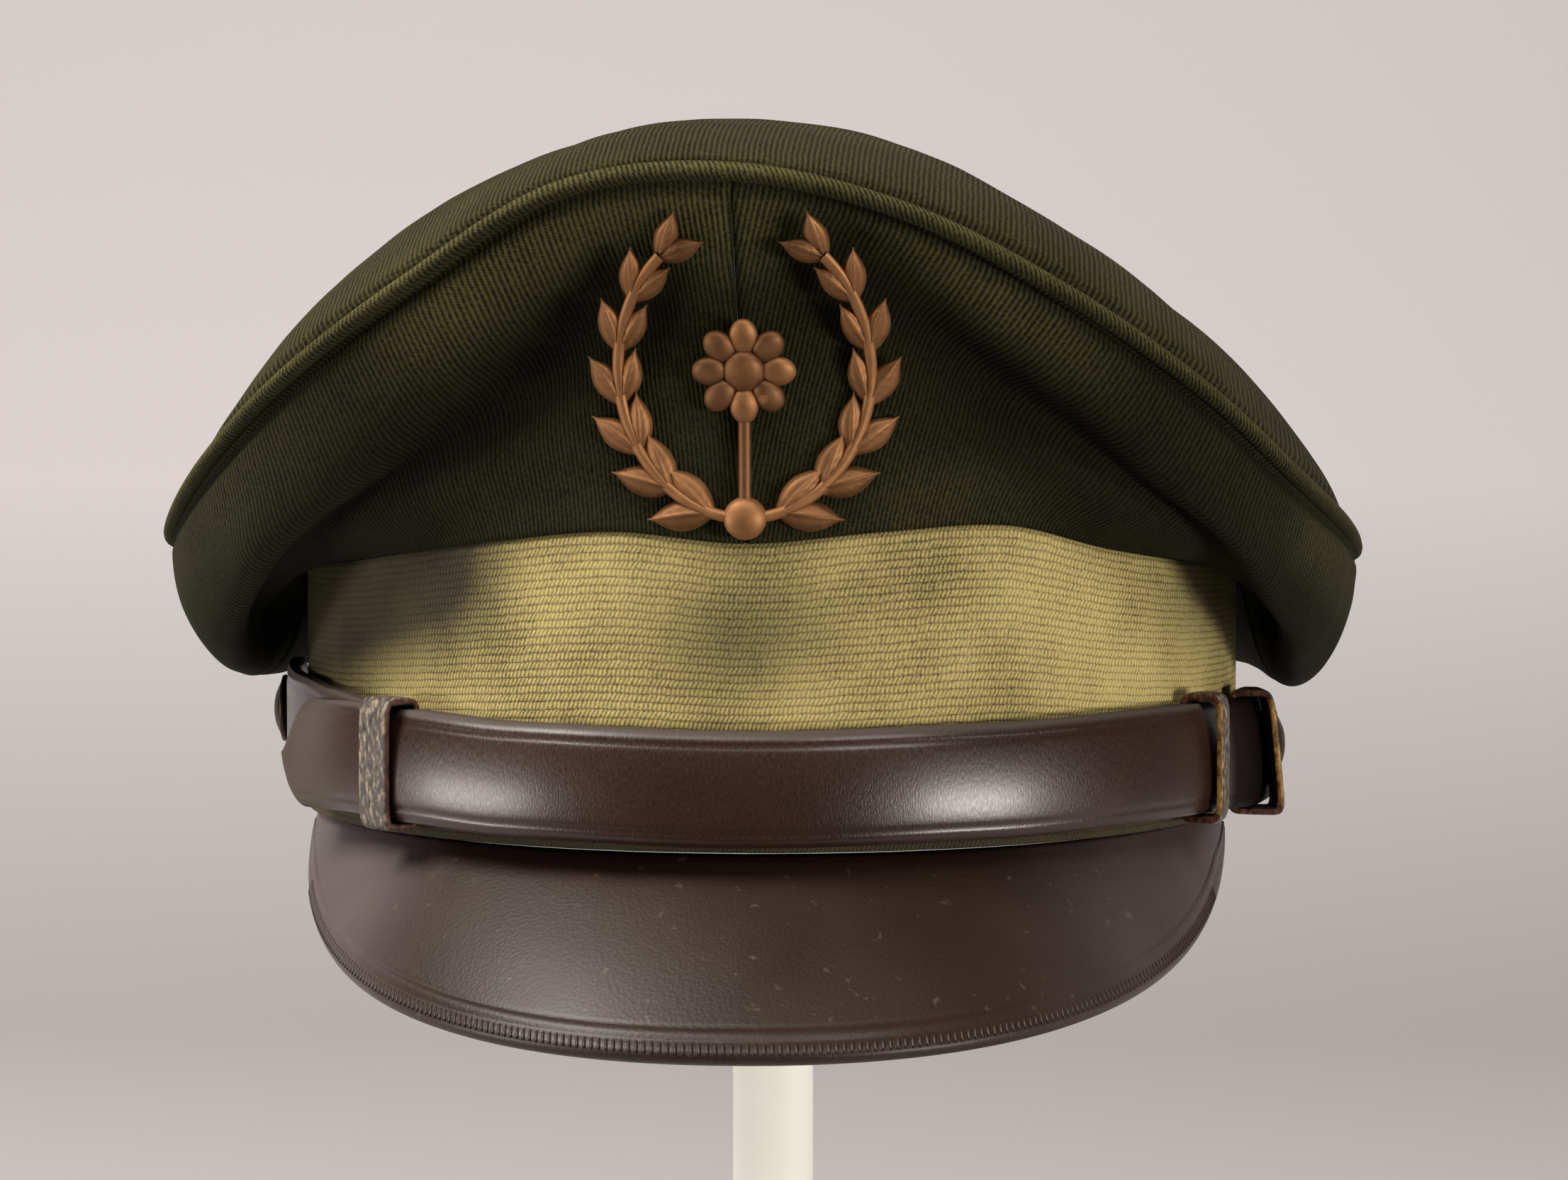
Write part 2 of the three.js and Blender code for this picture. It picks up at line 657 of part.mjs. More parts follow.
function flatBadge() {
  const parts = [];
  const wreathEnd = radians(wreathReach);
  for (const side of [-1, 1]) {
    const route = steps(14, 0, wreathEnd).map((turn) => {
      const point = stemPoint(turn, side);
      return new THREE.Vector3(point.x, point.y, badgeWall);
    });
    const stem = new THREE.Shape().absarc(0, 0, badgeRing / 2, 0, 2 * Math.PI);
    const extrudePath = new THREE.CatmullRomCurve3(route);
    parts.push(new THREE.ExtrudeGeometry(stem, { steps: 10, extrudePath, curveSegments: 2 }));
    for (const turn of steps(leafPairs - 1, radians(wreathFoot), wreathEnd)) {
      for (const lean of [-1, 1]) {
        const leaf = leafGeometry();
        const size = 1 - (leafTaper * turn) / wreathEnd;
        leaf.scale(size, size, 1);
        const ahead = stemPoint(turn + radians(1), side).sub(stemPoint(turn, side));
        leaf.rotateZ(Math.atan2(ahead.y, ahead.x) - Math.PI / 2 + lean * radians(leafLean));
        const foot = stemPoint(turn, side);
        parts.push(leaf.translate(foot.x, foot.y, 0));
      }
    }
  }
  const knot = new THREE.CylinderGeometry(knotWidth / 2 - badgeRing / 4, knotWidth / 2, knotHeight, 12);
  knot.rotateX(Math.PI / 2);
  parts.push(knot.translate(0, stemPoint(0, 1).y, knotHeight / 2));
  const stalk = new THREE.BoxGeometry(badgeRing, badgeHeight / 2, badgeRing);
  parts.push(stalk.translate(0, -badgeHeight / 4, badgeRing / 2));
  return parts;
}

function rosetteParts() {
  const parts = [];
  const petalRing = (rosetteDiameter - petalDiameter) / 2;
  const disc = new THREE.CylinderGeometry(petalRing, petalRing, badgeWall, 16);
  disc.rotateX(Math.PI / 2);
  parts.push(disc.translate(0, 0, badgeWall / 2));
  for (let k = 0; k < petalCount; k += 1) {
    const petal = new THREE.SphereGeometry(petalDiameter / 2, 6, 4);
    petal.scale(1, 0.8, 0.7);
    petal.translate(petalRing, 0, badgeWall);
    parts.push(petal.rotateZ((k * 2 * Math.PI) / petalCount));
  }
  const boss = new THREE.SphereGeometry(bossDiameter / 2, 12, 6);
  boss.scale(1, 1, (2 * rosetteRelief) / bossDiameter);
  parts.push(boss.translate(0, 0, badgeWall));
  return parts;
}

// The crown's outer face in front, as its distance forward at a place across and a height
function crownFrontAt(across, height) {
  let angle = 0;
  let up = 0.5;
  for (let round = 0; round < 8; round += 1) {
    let [low, high] = [0, 1];
    for (let k = 0; k < 20; k += 1) {
      up = (low + high) / 2;
      if (panelPoint(angle, up).z < height) low = up;
      else high = up;
    }
    const miss = across - panelPoint(angle, up).x;
    angle += THREE.MathUtils.radToDeg(miss / halfLength);
  }
  return -panelPoint(angle, up).y;
}

function badgeGeometry() {
  const pieces = [...flatBadge(), ...rosetteParts()];
  const floor = new THREE.BoxGeometry(badgeWidth * 2, badgeHeight * 2, badgeHeight);
  const below = toSolid(floor.translate(0, 0, -badgeHeight / 2));
  const screwReach = badgeStandoff - seatGap + badgeWall / 2;
  const screw = new THREE.CylinderGeometry(badgeScrewDiameter / 2, badgeScrewDiameter / 2, screwReach, 12);
  screw.rotateX(Math.PI / 2);
  screw.translate(0, 0, badgeWall / 2 - screwReach / 2);
  let solid = toSolid(pieces[0]);
  for (const piece of pieces.slice(1)) solid = solid.add(toSolid(piece));
  solid = solid.subtract(below).add(toSolid(screw));
  const flat = toGeometry(solid);
  const position = flat.getAttribute("position");
  const middle = capHeight + bandTop(0) + badgeFoot + badgeHeight / 2;
  for (let k = 0; k < position.count; k += 1) {
    const [x, y, out] = [position.getX(k), position.getY(k), position.getZ(k)];
    const forward = crownFrontAt(x, middle + y) + badgeStandoff + out;
    position.setXYZ(k, x, -forward, middle + y);
  }
  flat.computeVertexNormals();
  return flat;
}

// Stand

function lathed(profile, sides) {
  const turned = new THREE.LatheGeometry(
    profile.map(([r, z]) => new THREE.Vector2(r, z)),
    sides,
  );
  return turned.rotateX(Math.PI / 2);
}

function baseGeometry() {
  const radius = baseDiameter / 2;
  const bend = steps(3, 0, Math.PI / 2).map((turn) => [
    radius - baseEdgeRadius * (1 - Math.cos(turn)),
    baseThickness - baseEdgeRadius * (1 - Math.sin(turn)),
  ]);
  return lathed([[0, 0], [radius, 0], ...bend, [0, baseThickness]], roundSteps);
}

function padDrop(r) {
  return padDomeRadius - Math.sqrt(padDomeRadius * padDomeRadius - r * r);
}

// The height of the pad's top, where its dome comes up against the inside of the top panel
function padTop() {
  let top = Infinity;
  for (const angle of steps(36, -180, 180)) {
    for (const out of steps(24, 0, 0.96)) {
      const inside = inset(topPoint, angle, Math.max(out, 0.01), clothWall, -1);
      const r = Math.hypot(inside.x, inside.y);
      if (r < padDiameter / 2) top = Math.min(top, inside.z + padDrop(r));
    }
  }
  return top - padPlay;
}

const padHeight = padTop();
const padUnder = padHeight - padDrop(padDiameter / 2) - padRim;

function padGeometry() {
  const dome = steps(6, padDiameter / 2, 0).map((r) => [r, padHeight - padDrop(r)]);
  return lathed([[0, padUnder], [padDiameter / 2 - padRim / 2, padUnder], ...dome], roundSteps);
}

function postGeometry() {
  const post = new THREE.CylinderGeometry(
    postDiameter / 2,
    postDiameter / 2,
    padUnder - baseThickness - 2 * seatGap,
    24,
  );
  post.rotateX(Math.PI / 2);
  return post.translate(0, 0, (padUnder + baseThickness) / 2);
}

const cap = new THREE.Group();

function piece(name, geometry, finish) {
  const mesh = new THREE.Mesh(geometry, new THREE.MeshStandardMaterial(finish));
  mesh.name = name;
  cap.add(mesh);
}

piece("stand_base", baseGeometry(), offWhite);
piece("stand_post", postGeometry(), offWhite);
piece("stand_head", padGeometry(), offWhite);
piece("band", bandGeometry(), braid);
piece("crown_front_left", panelGeometry(-90, 0), cloth);
piece("crown_front_right", panelGeometry(0, 90), cloth);
piece("crown_back_left", panelGeometry(-180, -90), cloth);
piece("crown_back_right", panelGeometry(90, 180), cloth);
piece("crown_top", topGeometry(), cloth);
piece("crown_welt", weltGeometry(), cloth);
piece("visor", visorGeometry(), visorLeather);
piece("strap_outer", outerStrapGeometry(), strapLeather);
piece("strap_inner", innerStrapGeometry(), strapLeather);
for (const { name, angle, depth, width } of keepers) {
  piece(name, keeperGeometry(angle, keeperInner - seatGap, depth, width), edgeLeather);
}
for (const { name, angle, height, under } of buttons) {
  piece(name, buttonGeometry(angle, height, under), darkBronze);
}
piece("badge", badgeGeometry(), copper);

export default cap;
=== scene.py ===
# %% [markdown]
# # A peaked cap on its display stand
#
# A soft officer's cap: a dark olive crown that droops at both sides, a khaki braid band, a brown
# leather visor, a polished chin strap with its keepers, and a copper badge. The construction comes
# from a CAD model, which stays as it is. This lesson dresses it: each cell makes one piece or one
# finish. Lengths are worked out in millimetres, and one constant turns them into Blender's metres.

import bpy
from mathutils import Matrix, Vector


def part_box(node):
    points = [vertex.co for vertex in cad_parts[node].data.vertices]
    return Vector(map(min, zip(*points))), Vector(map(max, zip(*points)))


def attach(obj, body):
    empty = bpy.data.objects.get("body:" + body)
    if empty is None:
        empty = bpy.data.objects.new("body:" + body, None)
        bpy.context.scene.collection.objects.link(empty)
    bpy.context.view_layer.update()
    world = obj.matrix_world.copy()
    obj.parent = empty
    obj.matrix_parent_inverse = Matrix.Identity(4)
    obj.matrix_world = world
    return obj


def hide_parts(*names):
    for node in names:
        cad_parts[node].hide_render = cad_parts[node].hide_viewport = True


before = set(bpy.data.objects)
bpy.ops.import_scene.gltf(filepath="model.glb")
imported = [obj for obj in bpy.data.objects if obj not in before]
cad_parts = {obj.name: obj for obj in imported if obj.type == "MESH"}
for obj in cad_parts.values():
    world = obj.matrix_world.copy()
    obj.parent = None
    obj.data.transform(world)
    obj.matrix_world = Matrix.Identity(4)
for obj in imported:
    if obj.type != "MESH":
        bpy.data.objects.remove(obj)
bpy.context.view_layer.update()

# %% Other modules
import functools
import math

import bmesh
import bpy
from mathutils import Matrix, Vector, geometry, noise

MM = 0.001
scene = bpy.context.scene

# %% [markdown]
# ## The shape of the cap
#
# The head is an oval, and everything goes round it: the band stands on it, the crown grows out of
# the band's top edge, and the visor and the straps follow it below. So one function gives a point
# of the oval at an angle, moved out square to it, and every piece is described by that angle.
# Sizes that the CAD model already holds are read from its nodes' boxes.

# %% The head oval
band_low, band_high = (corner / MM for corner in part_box("band"))
HALF_WIDTH, HALF_LENGTH, CAP_HEIGHT = band_high.x, band_high.y, band_low.z
BAND_HEIGHT = 52


def outwards(angle):
    """The level direction that is square to the oval at an angle from the front, right is plus."""
    turn = math.radians(angle)
    return Vector((math.sin(turn) / HALF_WIDTH, -math.cos(turn) / HALF_LENGTH, 0)).normalized()


def oval_point(angle, offset, height):
    """A point over the oval, an offset outside it and a height over the band's lower edge."""
    turn = math.radians(angle)
    foot = Vector((HALF_WIDTH * math.sin(turn), -HALF_LENGTH * math.cos(turn), CAP_HEIGHT + height))
    return foot + outwards(angle) * offset


def bell(distance):
    return math.exp(-distance * distance)


def turn_between(a, b):
    """The difference of two angles, the short way round."""
    return (a - b + 180) % 360 - 180


def smooth_step(low, high, value):
    share = min(1, max(0, (value - low) / (high - low)))
    return share * share * (3 - 2 * share)


print(f"oval {2 * HALF_WIDTH:.0f} by {2 * HALF_LENGTH:.0f} mm, {CAP_HEIGHT:.0f} mm over the table")

# %% [markdown]
# The crown's shape changes all the way round, so it is told by a short table of sections. Each row
# is one angle: how high the band and the welt are there, which way the side panel sets off from
# the band and comes in to the welt, and how square the top is over that side. A smooth curve
# through each column fills in the rest. It is the same table as the CAD model's.

# %% Sections round the head
COLUMNS = ("angle", "top", "rise", "start_turn", "start_pull", "end_turn", "end_pull", "doming")
SECTIONS = [
    dict(zip(COLUMNS, row))
    for row in (
        (-180, 0.88, 0.1, -40, 0.5, -92, 0.4, 0.8),
        (-150, 0.88, 0, -58, 0.6, -90, 0.34, 0.8),
        (-120, 0.88, -0.06, -74, 0.72, -87, 0.3, 0.76),
        (-90, 0.88, -0.07, -86, 0.78, -78, 0.26, 0.84),
        (-75, 0.88, 0, -76, 0.68, -86, 0.3, 0.84),
        (-60, 0.89, 0.195, -40, 0.42, -100, 0.4, 0.78),
        (-45, 0.935, 0.445, 15, 0.3, -112, 0.44, 0.71),
        (-30, 0.99, 0.7, 66, 0.34, -121, 0.46, 0.64),
        (-15, 1.03, 0.95, 84, 0.38, -126, 0.5, 0.56),
        (0, 0.995, 1, 88, 0.4, -128, 0.5, 0.52),
        (15, 1.03, 0.895, 84, 0.38, -126, 0.5, 0.56),
        (30, 1.045, 0.675, 66, 0.34, -121, 0.46, 0.64),
        (45, 0.955, 0.42, 15, 0.3, -112, 0.44, 0.72),
        (60, 0.9, 0.165, -40, 0.42, -100, 0.4, 0.78),
        (75, 0.88, 0, -76, 0.68, -84, 0.3, 0.8),
        (90, 0.88, -0.1, -86, 0.8, -74, 0.28, 0.8),
        (120, 0.88, -0.08, -74, 0.72, -87, 0.3, 0.8),
        (150, 0.88, -0.02, -58, 0.6, -90, 0.34, 0.8),
    )
]


@functools.cache
def section(angle):
    """Every column of the table at an angle, on smooth curves that close round the head."""
    count = len(SECTIONS)
    turned = (angle + 180) % 360 - 180
    last = max(k for k in range(count) if SECTIONS[k]["angle"] <= turned)
    rows = [SECTIONS[(last + k) % count] for k in (-1, 0, 1, 2)]
    places = [row["angle"] + 360 * ((last + k) // count) for k, row in zip((-1, 0, 1, 2), rows)]
    span = places[2] - places[1]
    s = (turned - places[1]) / span
    found = {}
    for name in COLUMNS[1:]:
        before, start, end, after = (row[name] for row in rows)
        leave = (end - before) / (places[2] - places[0]) * span
        arrive = (after - start) / (places[3] - places[1]) * span
        found[name] = (
            (2 * s**3 - 3 * s**2 + 1) * start
            + (s**3 - 2 * s**2 + s) * leave
            + (3 * s**2 - 2 * s**3) * end
            + (s**3 - s**2) * arrive
        )
    return found


print(len(SECTIONS), "sections, for example at 20 degrees:", section(20.0))

# %% [markdown]
# With the table, the crown's two surfaces are formulas. A side panel is a Bezier curve at each
# angle, from the band's top edge to the welt. The top is a dome from its peak to the welt. Soft
# folds and dents are bells pressed into them.

# %% The crown's surfaces
CROWN_WIDTH, CROWN_LEFT, CROWN_FRONT, CROWN_BACK = 218, 1.6, 125, 138
FRONT_RISE, CROWN_PEAK, PEAK_FORWARD, PEAK_LEFT = 60, 72, 25, 4
SEAM_GAP = 0.3
FRONT_TOP = BAND_HEIGHT * section(0.0)["top"]

# angle, spread in degrees, up, spread as shares of the panel, depth in millimetres, minus stands out
PANEL_FOLDS = [
    (-27, 9, 0.5, 0.25, 2.4),
    (29, 10, 0.5, 0.25, 3),
    (-55, 7, 0.62, 0.2, -1.8),
    (52, 7, 0.6, 0.2, -1.8),
    (-108, 8, 0.6, 0.22, 3),
    (118, 9, 0.6, 0.22, 3),
    (160, 10, 0.55, 0.25, 2.7),
    (-152, 10, 0.55, 0.25, 2.4),
]
# angle, spread in degrees, out, spread as shares of the way to the welt, depth in millimetres
TOP_DENTS = [
    (70, 26, 0.62, 0.24, 3.2),
    (-115, 24, 0.66, 0.22, 3.6),
    (150, 22, 0.6, 0.24, 4.3),
    (-168, 16, 0.72, 0.2, 2.9),
]


@functools.cache
def welt_point(angle):
    turn = math.radians(angle)
    length = CROWN_FRONT if math.cos(turn) > 0 else CROWN_BACK
    height = CAP_HEIGHT + FRONT_TOP + FRONT_RISE * section(angle)["rise"]
    return Vector((CROWN_WIDTH / 2 * math.sin(turn) - CROWN_LEFT, -length * math.cos(turn), height))


@functools.cache
def panel_curve(angle):
    """The four handles of a side panel's curve."""
    row = section(angle)
    start = oval_point(angle, SEAM_GAP, BAND_HEIGHT * row["top"] + SEAM_GAP)
    end = welt_point(angle)
    out = outwards(angle)

    def pulled(foot, turn, pull):
        turn = math.radians(turn)
        return foot + FRONT_RISE * pull * (out * math.cos(turn) + Vector((0, 0, math.sin(turn))))

    first = pulled(start, row["start_turn"], row["start_pull"])
    return start, first, pulled(end, row["end_turn"], row["end_pull"]), end


def panel_point(angle, up):
    """A side panel's face, with up from 0 at the band to 1 at the welt."""
    start, first, second, end = panel_curve(angle)
    rest = 1 - up
    point = start * rest**3 + first * (3 * rest * rest * up) + second * (3 * rest * up * up)
    depth = sum(
        deep * bell(turn_between(angle, middle) / spread) * bell((up - share) / up_spread)
        for middle, spread, share, up_spread, deep in PANEL_FOLDS
    )
    return point + end * up**3 - outwards(angle) * (depth * math.sin(math.pi * up))


def top_point(angle, out):
    """The top's face, with out from 0 at the peak to 1 at the welt."""
    edge = welt_point(angle)
    peak = Vector((-PEAK_LEFT, -PEAK_FORWARD, CAP_HEIGHT + FRONT_TOP + CROWN_PEAK))
    depth = sum(
        deep * bell(turn_between(angle, middle) / spread) * bell((out - share) / out_spread)
        for middle, spread, share, out_spread, deep in TOP_DENTS
    )
    point = peak.lerp(edge, out)
    height = max(0, 1 - out * out) ** section(angle)["doming"]
    point.z = edge.z + (peak.z - edge.z) * height - depth * math.sin(math.pi * min(out, 1))
    return point


print("the welt in front is at", welt_point(0.0), "mm")

# %% [markdown]
# ## Camera, backdrop and light
#
# The camera stands 0.9 m in front of the cap, a little to its right and a little above it, with a
# long lens, so that the visor isn't blown up and the crown's far side isn't lost. The cap stands on
# a pale sweep of paper, a sheet that lies on the table and curves up behind, which shows no line
# between floor and wall. It is a curve extruded into a sheet.

# %% Camera
EYE_DISTANCE, EYE_HEIGHT, EYE_AZIMUTH = 0.9, 0.274, 2.5
PITCH, AIM_RIGHT = 2.9, 0.13
SENSOR, LENS = 36, 110.95

turn = math.radians(EYE_AZIMUTH)
camera_data = bpy.data.cameras.new("camera")
camera_data.sensor_width = SENSOR
camera_data.lens = LENS
camera_data.clip_end = 30
camera = bpy.data.objects.new("camera", camera_data)
scene.collection.objects.link(camera)
camera.location = (EYE_DISTANCE * math.sin(turn), -EYE_DISTANCE * math.cos(turn), EYE_HEIGHT)
camera.rotation_euler = (math.radians(90 - PITCH), 0, math.radians(EYE_AZIMUTH - AIM_RIGHT))
scene.camera = camera
scene.view_settings.view_transform = "Standard"
print("camera at", camera.location[:])

# %% [markdown]
# ## Helpers for materials
#
# A procedural material is a small graph. One function adds a node with its settings and links, so
# that a material reads as a list of what feeds what. Colours are written as sRGB hex values, as a
# colour picker shows them, and turned linear, which is what a shader works in.


# %% Nodes and colours
def linear(hex_colour):
    """An sRGB hex value as linear red, green, blue and alpha."""
    shares = [int(hex_colour[k : k + 2], 16) / 255 for k in (1, 3, 5)]
    return (*[s / 12.92 if s <= 0.04045 else ((s + 0.055) / 1.055) ** 2.4 for s in shares], 1)


def add(tree, kind, inputs=None, stops=None, **settings):
    """Adds a node. inputs holds values, or other nodes' sockets to link; stops fills a colour ramp."""
    made = tree.nodes.new(kind)
    for name, value in settings.items():
        setattr(made, name, value)
    for name, value in (inputs or {}).items():
        if isinstance(value, bpy.types.NodeSocket):
            tree.links.new(value, made.inputs[name])
        else:
            made.inputs[name].default_value = value
    for k, (place, colour) in enumerate(stops or ()):
        ramp = made.color_ramp.elements
        stop = ramp[k] if k < 2 else ramp.new(place)
        stop.position, stop.color = place, colour
    return made


def new_material(name):
    """An empty material with its shader and output, and the tree to build it in."""
    made = bpy.data.materials.new(name)
    made.use_nodes = True
    made.node_tree.nodes.clear()
    shader = add(made.node_tree, "ShaderNodeBsdfPrincipled")
    add(made.node_tree, "ShaderNodeOutputMaterial", {"Surface": shader.outputs[0]})
    return made, made.node_tree, shader


def mixed(tree, share, low, high):
    """The colour between low and high at a share."""
    inputs = {0: share, 6: low, 7: high}
    return add(tree, "ShaderNodeMix", inputs, data_type="RGBA").outputs[2]


def maths(tree, operation, *values):
    return add(tree, "ShaderNodeMath", dict(enumerate(values)), operation=operation).outputs[0]


print("sRGB #808080 is", linear("#808080")[:3])

# %% Sweep of paper
SWEEP_WIDTH, SWEEP_FRONT, SWEEP_BACK, SWEEP_RADIUS, SWEEP_TOP = 8.0, -0.3, 1.0, 1.3, 4.5

paper, tree, shader = new_material("matt_backdrop_paper")
place = add(tree, "ShaderNodeTexCoord").outputs["Object"]
# Painted shade: the paper on the table is painted darker than the wall, blending over the lowest 0.2 m, in place
# of the light falling off towards the table.
rise = add(tree, "ShaderNodeSeparateXYZ", {0: place}).outputs[2]
rise = add(tree, "ShaderNodeMapRange", {0: rise, 1: 0.0, 2: 0.2}).outputs[0]
tree.links.new(mixed(tree, rise, linear("#bab7b6"), linear("#e4dfe0")), shader.inputs["Base Color"])
shader.inputs["Roughness"].default_value = 0.95
shader.inputs["Specular IOR Level"].default_value = 0.2

shape = bmesh.new()
line = [(SWEEP_FRONT, 0)]
for k in range(33):
    bend = math.radians(90) * k / 32
    line.append((SWEEP_BACK + SWEEP_RADIUS * math.sin(bend), SWEEP_RADIUS * (1 - math.cos(bend))))
line.append((SWEEP_BACK + SWEEP_RADIUS, SWEEP_TOP))
corners = [shape.verts.new((-SWEEP_WIDTH / 2, y, z)) for y, z in line]
edges = [shape.edges.new(pair) for pair in zip(corners, corners[1:])]
pushed = bmesh.ops.extrude_edge_only(shape, edges=edges)
moved = [item for item in pushed["geom"] if isinstance(item, bmesh.types.BMVert)]
bmesh.ops.translate(shape, verts=moved, vec=(SWEEP_WIDTH, 0, 0))
bmesh.ops.recalc_face_normals(shape, faces=shape.faces)
sweep_mesh = bpy.data.meshes.new("backdrop")
shape.to_mesh(sweep_mesh)
shape.free()
sweep_mesh.shade_smooth()
sweep_mesh.materials.append(paper)
backdrop = bpy.data.objects.new("backdrop", sweep_mesh)
scene.collection.objects.link(backdrop)
print("backdrop", len(sweep_mesh.polygons), "faces")

# %% [markdown]
# The light is that of a plain studio: two tall soft boxes at the sides, which make the two long
# glints on the chin strap, a broad one overhead for the crown's upper edge, and a weak fill from
# the front. A soft box is an area light, and its size decides how soft its shadows and glints are.

# %% Lights
# name, place in metres, width, height, power in watts, colour
SOFT_BOXES = [
    ("key_box", (-1.15, -0.45, 1.6), 0.9, 0.8, 50, "#fffaf4"),
    ("left_strip", (-1.4, -0.5, 0.1), 0.7, 0.2, 9, "#fffaf4"),
    ("right_strip", (1.25, -0.95, 0.1), 0.65, 0.22, 16, "#fffaf4"),
    ("right_box", (0.8, -1.3, 1.7), 0.8, 0.7, 14, "#fffaf4"),
    ("front_box", (-0.3, -1.3, 2.2), 0.9, 0.7, 15, "#fffcf8"),
]
AIM = Vector((0, 0, 0.24))
for name, place, width, height, power, colour in SOFT_BOXES:
    lamp_data = bpy.data.lights.new(name, "AREA")
    lamp_data.shape = "RECTANGLE"
    lamp_data.size, lamp_data.size_y = width, height
    lamp_data.energy = power
    lamp_data.color = linear(colour)[:3]
    lamp = bpy.data.objects.new(name, lamp_data)
    scene.collection.objects.link(lamp)
    lamp.location = place
    lamp.rotation_euler = (AIM - lamp.location).to_track_quat("-Z", "Y").to_euler()
    print(name, place, power, "W")

world = bpy.data.worlds.new("studio")
world.use_nodes = True
scene.world = world
ambient = world.node_tree.nodes["Background"]
ambient.inputs["Color"].default_value = linear("#dcdcdf")
ambient.inputs["Strength"].default_value = 0.1

# %% [markdown]
# ## Helpers for shapes
#
# Every sheet here starts as a flat grid, one operator call, and each of its corners is then moved
# to a formula's point. The grid's own flat places are kept in two layers, so a later step can press
# a seam or a wrinkle into the sheet along its normals. A UV map called length holds millimetres
# along the cloth, so a weave keeps its real scale and follows the surface.


# %% Grids that take a shape
def formed(across, along, place, flat, painted_light_and_shade=None):
    """A grid whose corners go to place(u, v), with flat(u, v) as its UV map, both in millimetres.

    An attribute holds the optional last function's value at each corner, painted light and shade: where a material
    is painted lighter or darker than its own colour.
    """
    shape = bmesh.new()
    bmesh.ops.create_grid(shape, x_segments=across, y_segments=along, size=0.5)
    u_layer, v_layer = (shape.verts.layers.float.new(name) for name in ("u", "v"))
    for corner in shape.verts:
        corner[u_layer], corner[v_layer] = round(corner.co.x + 0.5, 6), round(corner.co.y + 0.5, 6)
    painted_shading = shape.verts.layers.float.new("painted_light_and_shade")
    for corner in shape.verts if painted_light_and_shade else ():
        corner[painted_shading] = painted_light_and_shade(corner[u_layer], corner[v_layer])
    length = shape.loops.layers.uv.new("length")
    for face in shape.faces:
        for loop in face.loops:
            loop[length].uv = flat(loop.vert[u_layer], loop.vert[v_layer])
    for corner in shape.verts:
        corner.co = place(corner[u_layer], corner[v_layer]) * MM
    bmesh.ops.remove_doubles(shape, verts=shape.verts, dist=0.002 * MM)
    shape.normal_update()
    return shape


def pressed(shape, depth):
    """Moves each corner inwards along its normal by depth(u, v, place), in millimetres."""
    u_layer, v_layer = (shape.verts.layers.float[name] for name in ("u", "v"))
    moves = [
        corner.normal * -depth(corner[u_layer], corner[v_layer], corner.co / MM) * MM
        for corner in shape.verts
    ]
    for corner, move in zip(shape.verts, moves):
        corner.co += move
    shape.normal_update()


def turned_out(shape, centre=None):
    """Turns the faces to the outside: of a closed shape, or away from a centre line for a sheet."""
    if centre is None:
        bmesh.ops.recalc_face_normals(shape, faces=shape.faces)
    else:
        middle = Vector(centre) * MM
        lean = sum(f.normal.dot(f.calc_center_median() - middle) * f.calc_area() for f in shape.faces)
        if lean < 0:
            bmesh.ops.reverse_faces(shape, faces=shape.faces)
    shape.normal_update()
    return shape


def finished(name, shape, finishes, stands_for=(), crease=None):
    """Makes the object that rides on the cap, with its finish, and stands for its CAD nodes."""
    mesh = bpy.data.meshes.new(name)
    shape.to_mesh(mesh)
    shape.free()
    mesh.shade_smooth()
    if crease is not None:
        mesh.set_sharp_from_angle(angle=math.radians(crease))
    for finish in finishes if isinstance(finishes, (list, tuple)) else [finishes]:
        mesh.materials.append(finish)
    piece = bpy.data.objects.new(name, mesh)
    scene.collection.objects.link(piece)
    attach(piece, "root")
    if stands_for:
        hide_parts(*stands_for)
    print(name, len(mesh.polygons), "faces")
    return piece


def walled(piece, thickness):
    """Gives a sheet its thickness, inwards from its face."""
    wall = piece.modifiers.new("wall", "SOLIDIFY")
    wall.thickness = thickness * MM
    wall.offset = -1
    wall.use_even_offset = False
    return piece
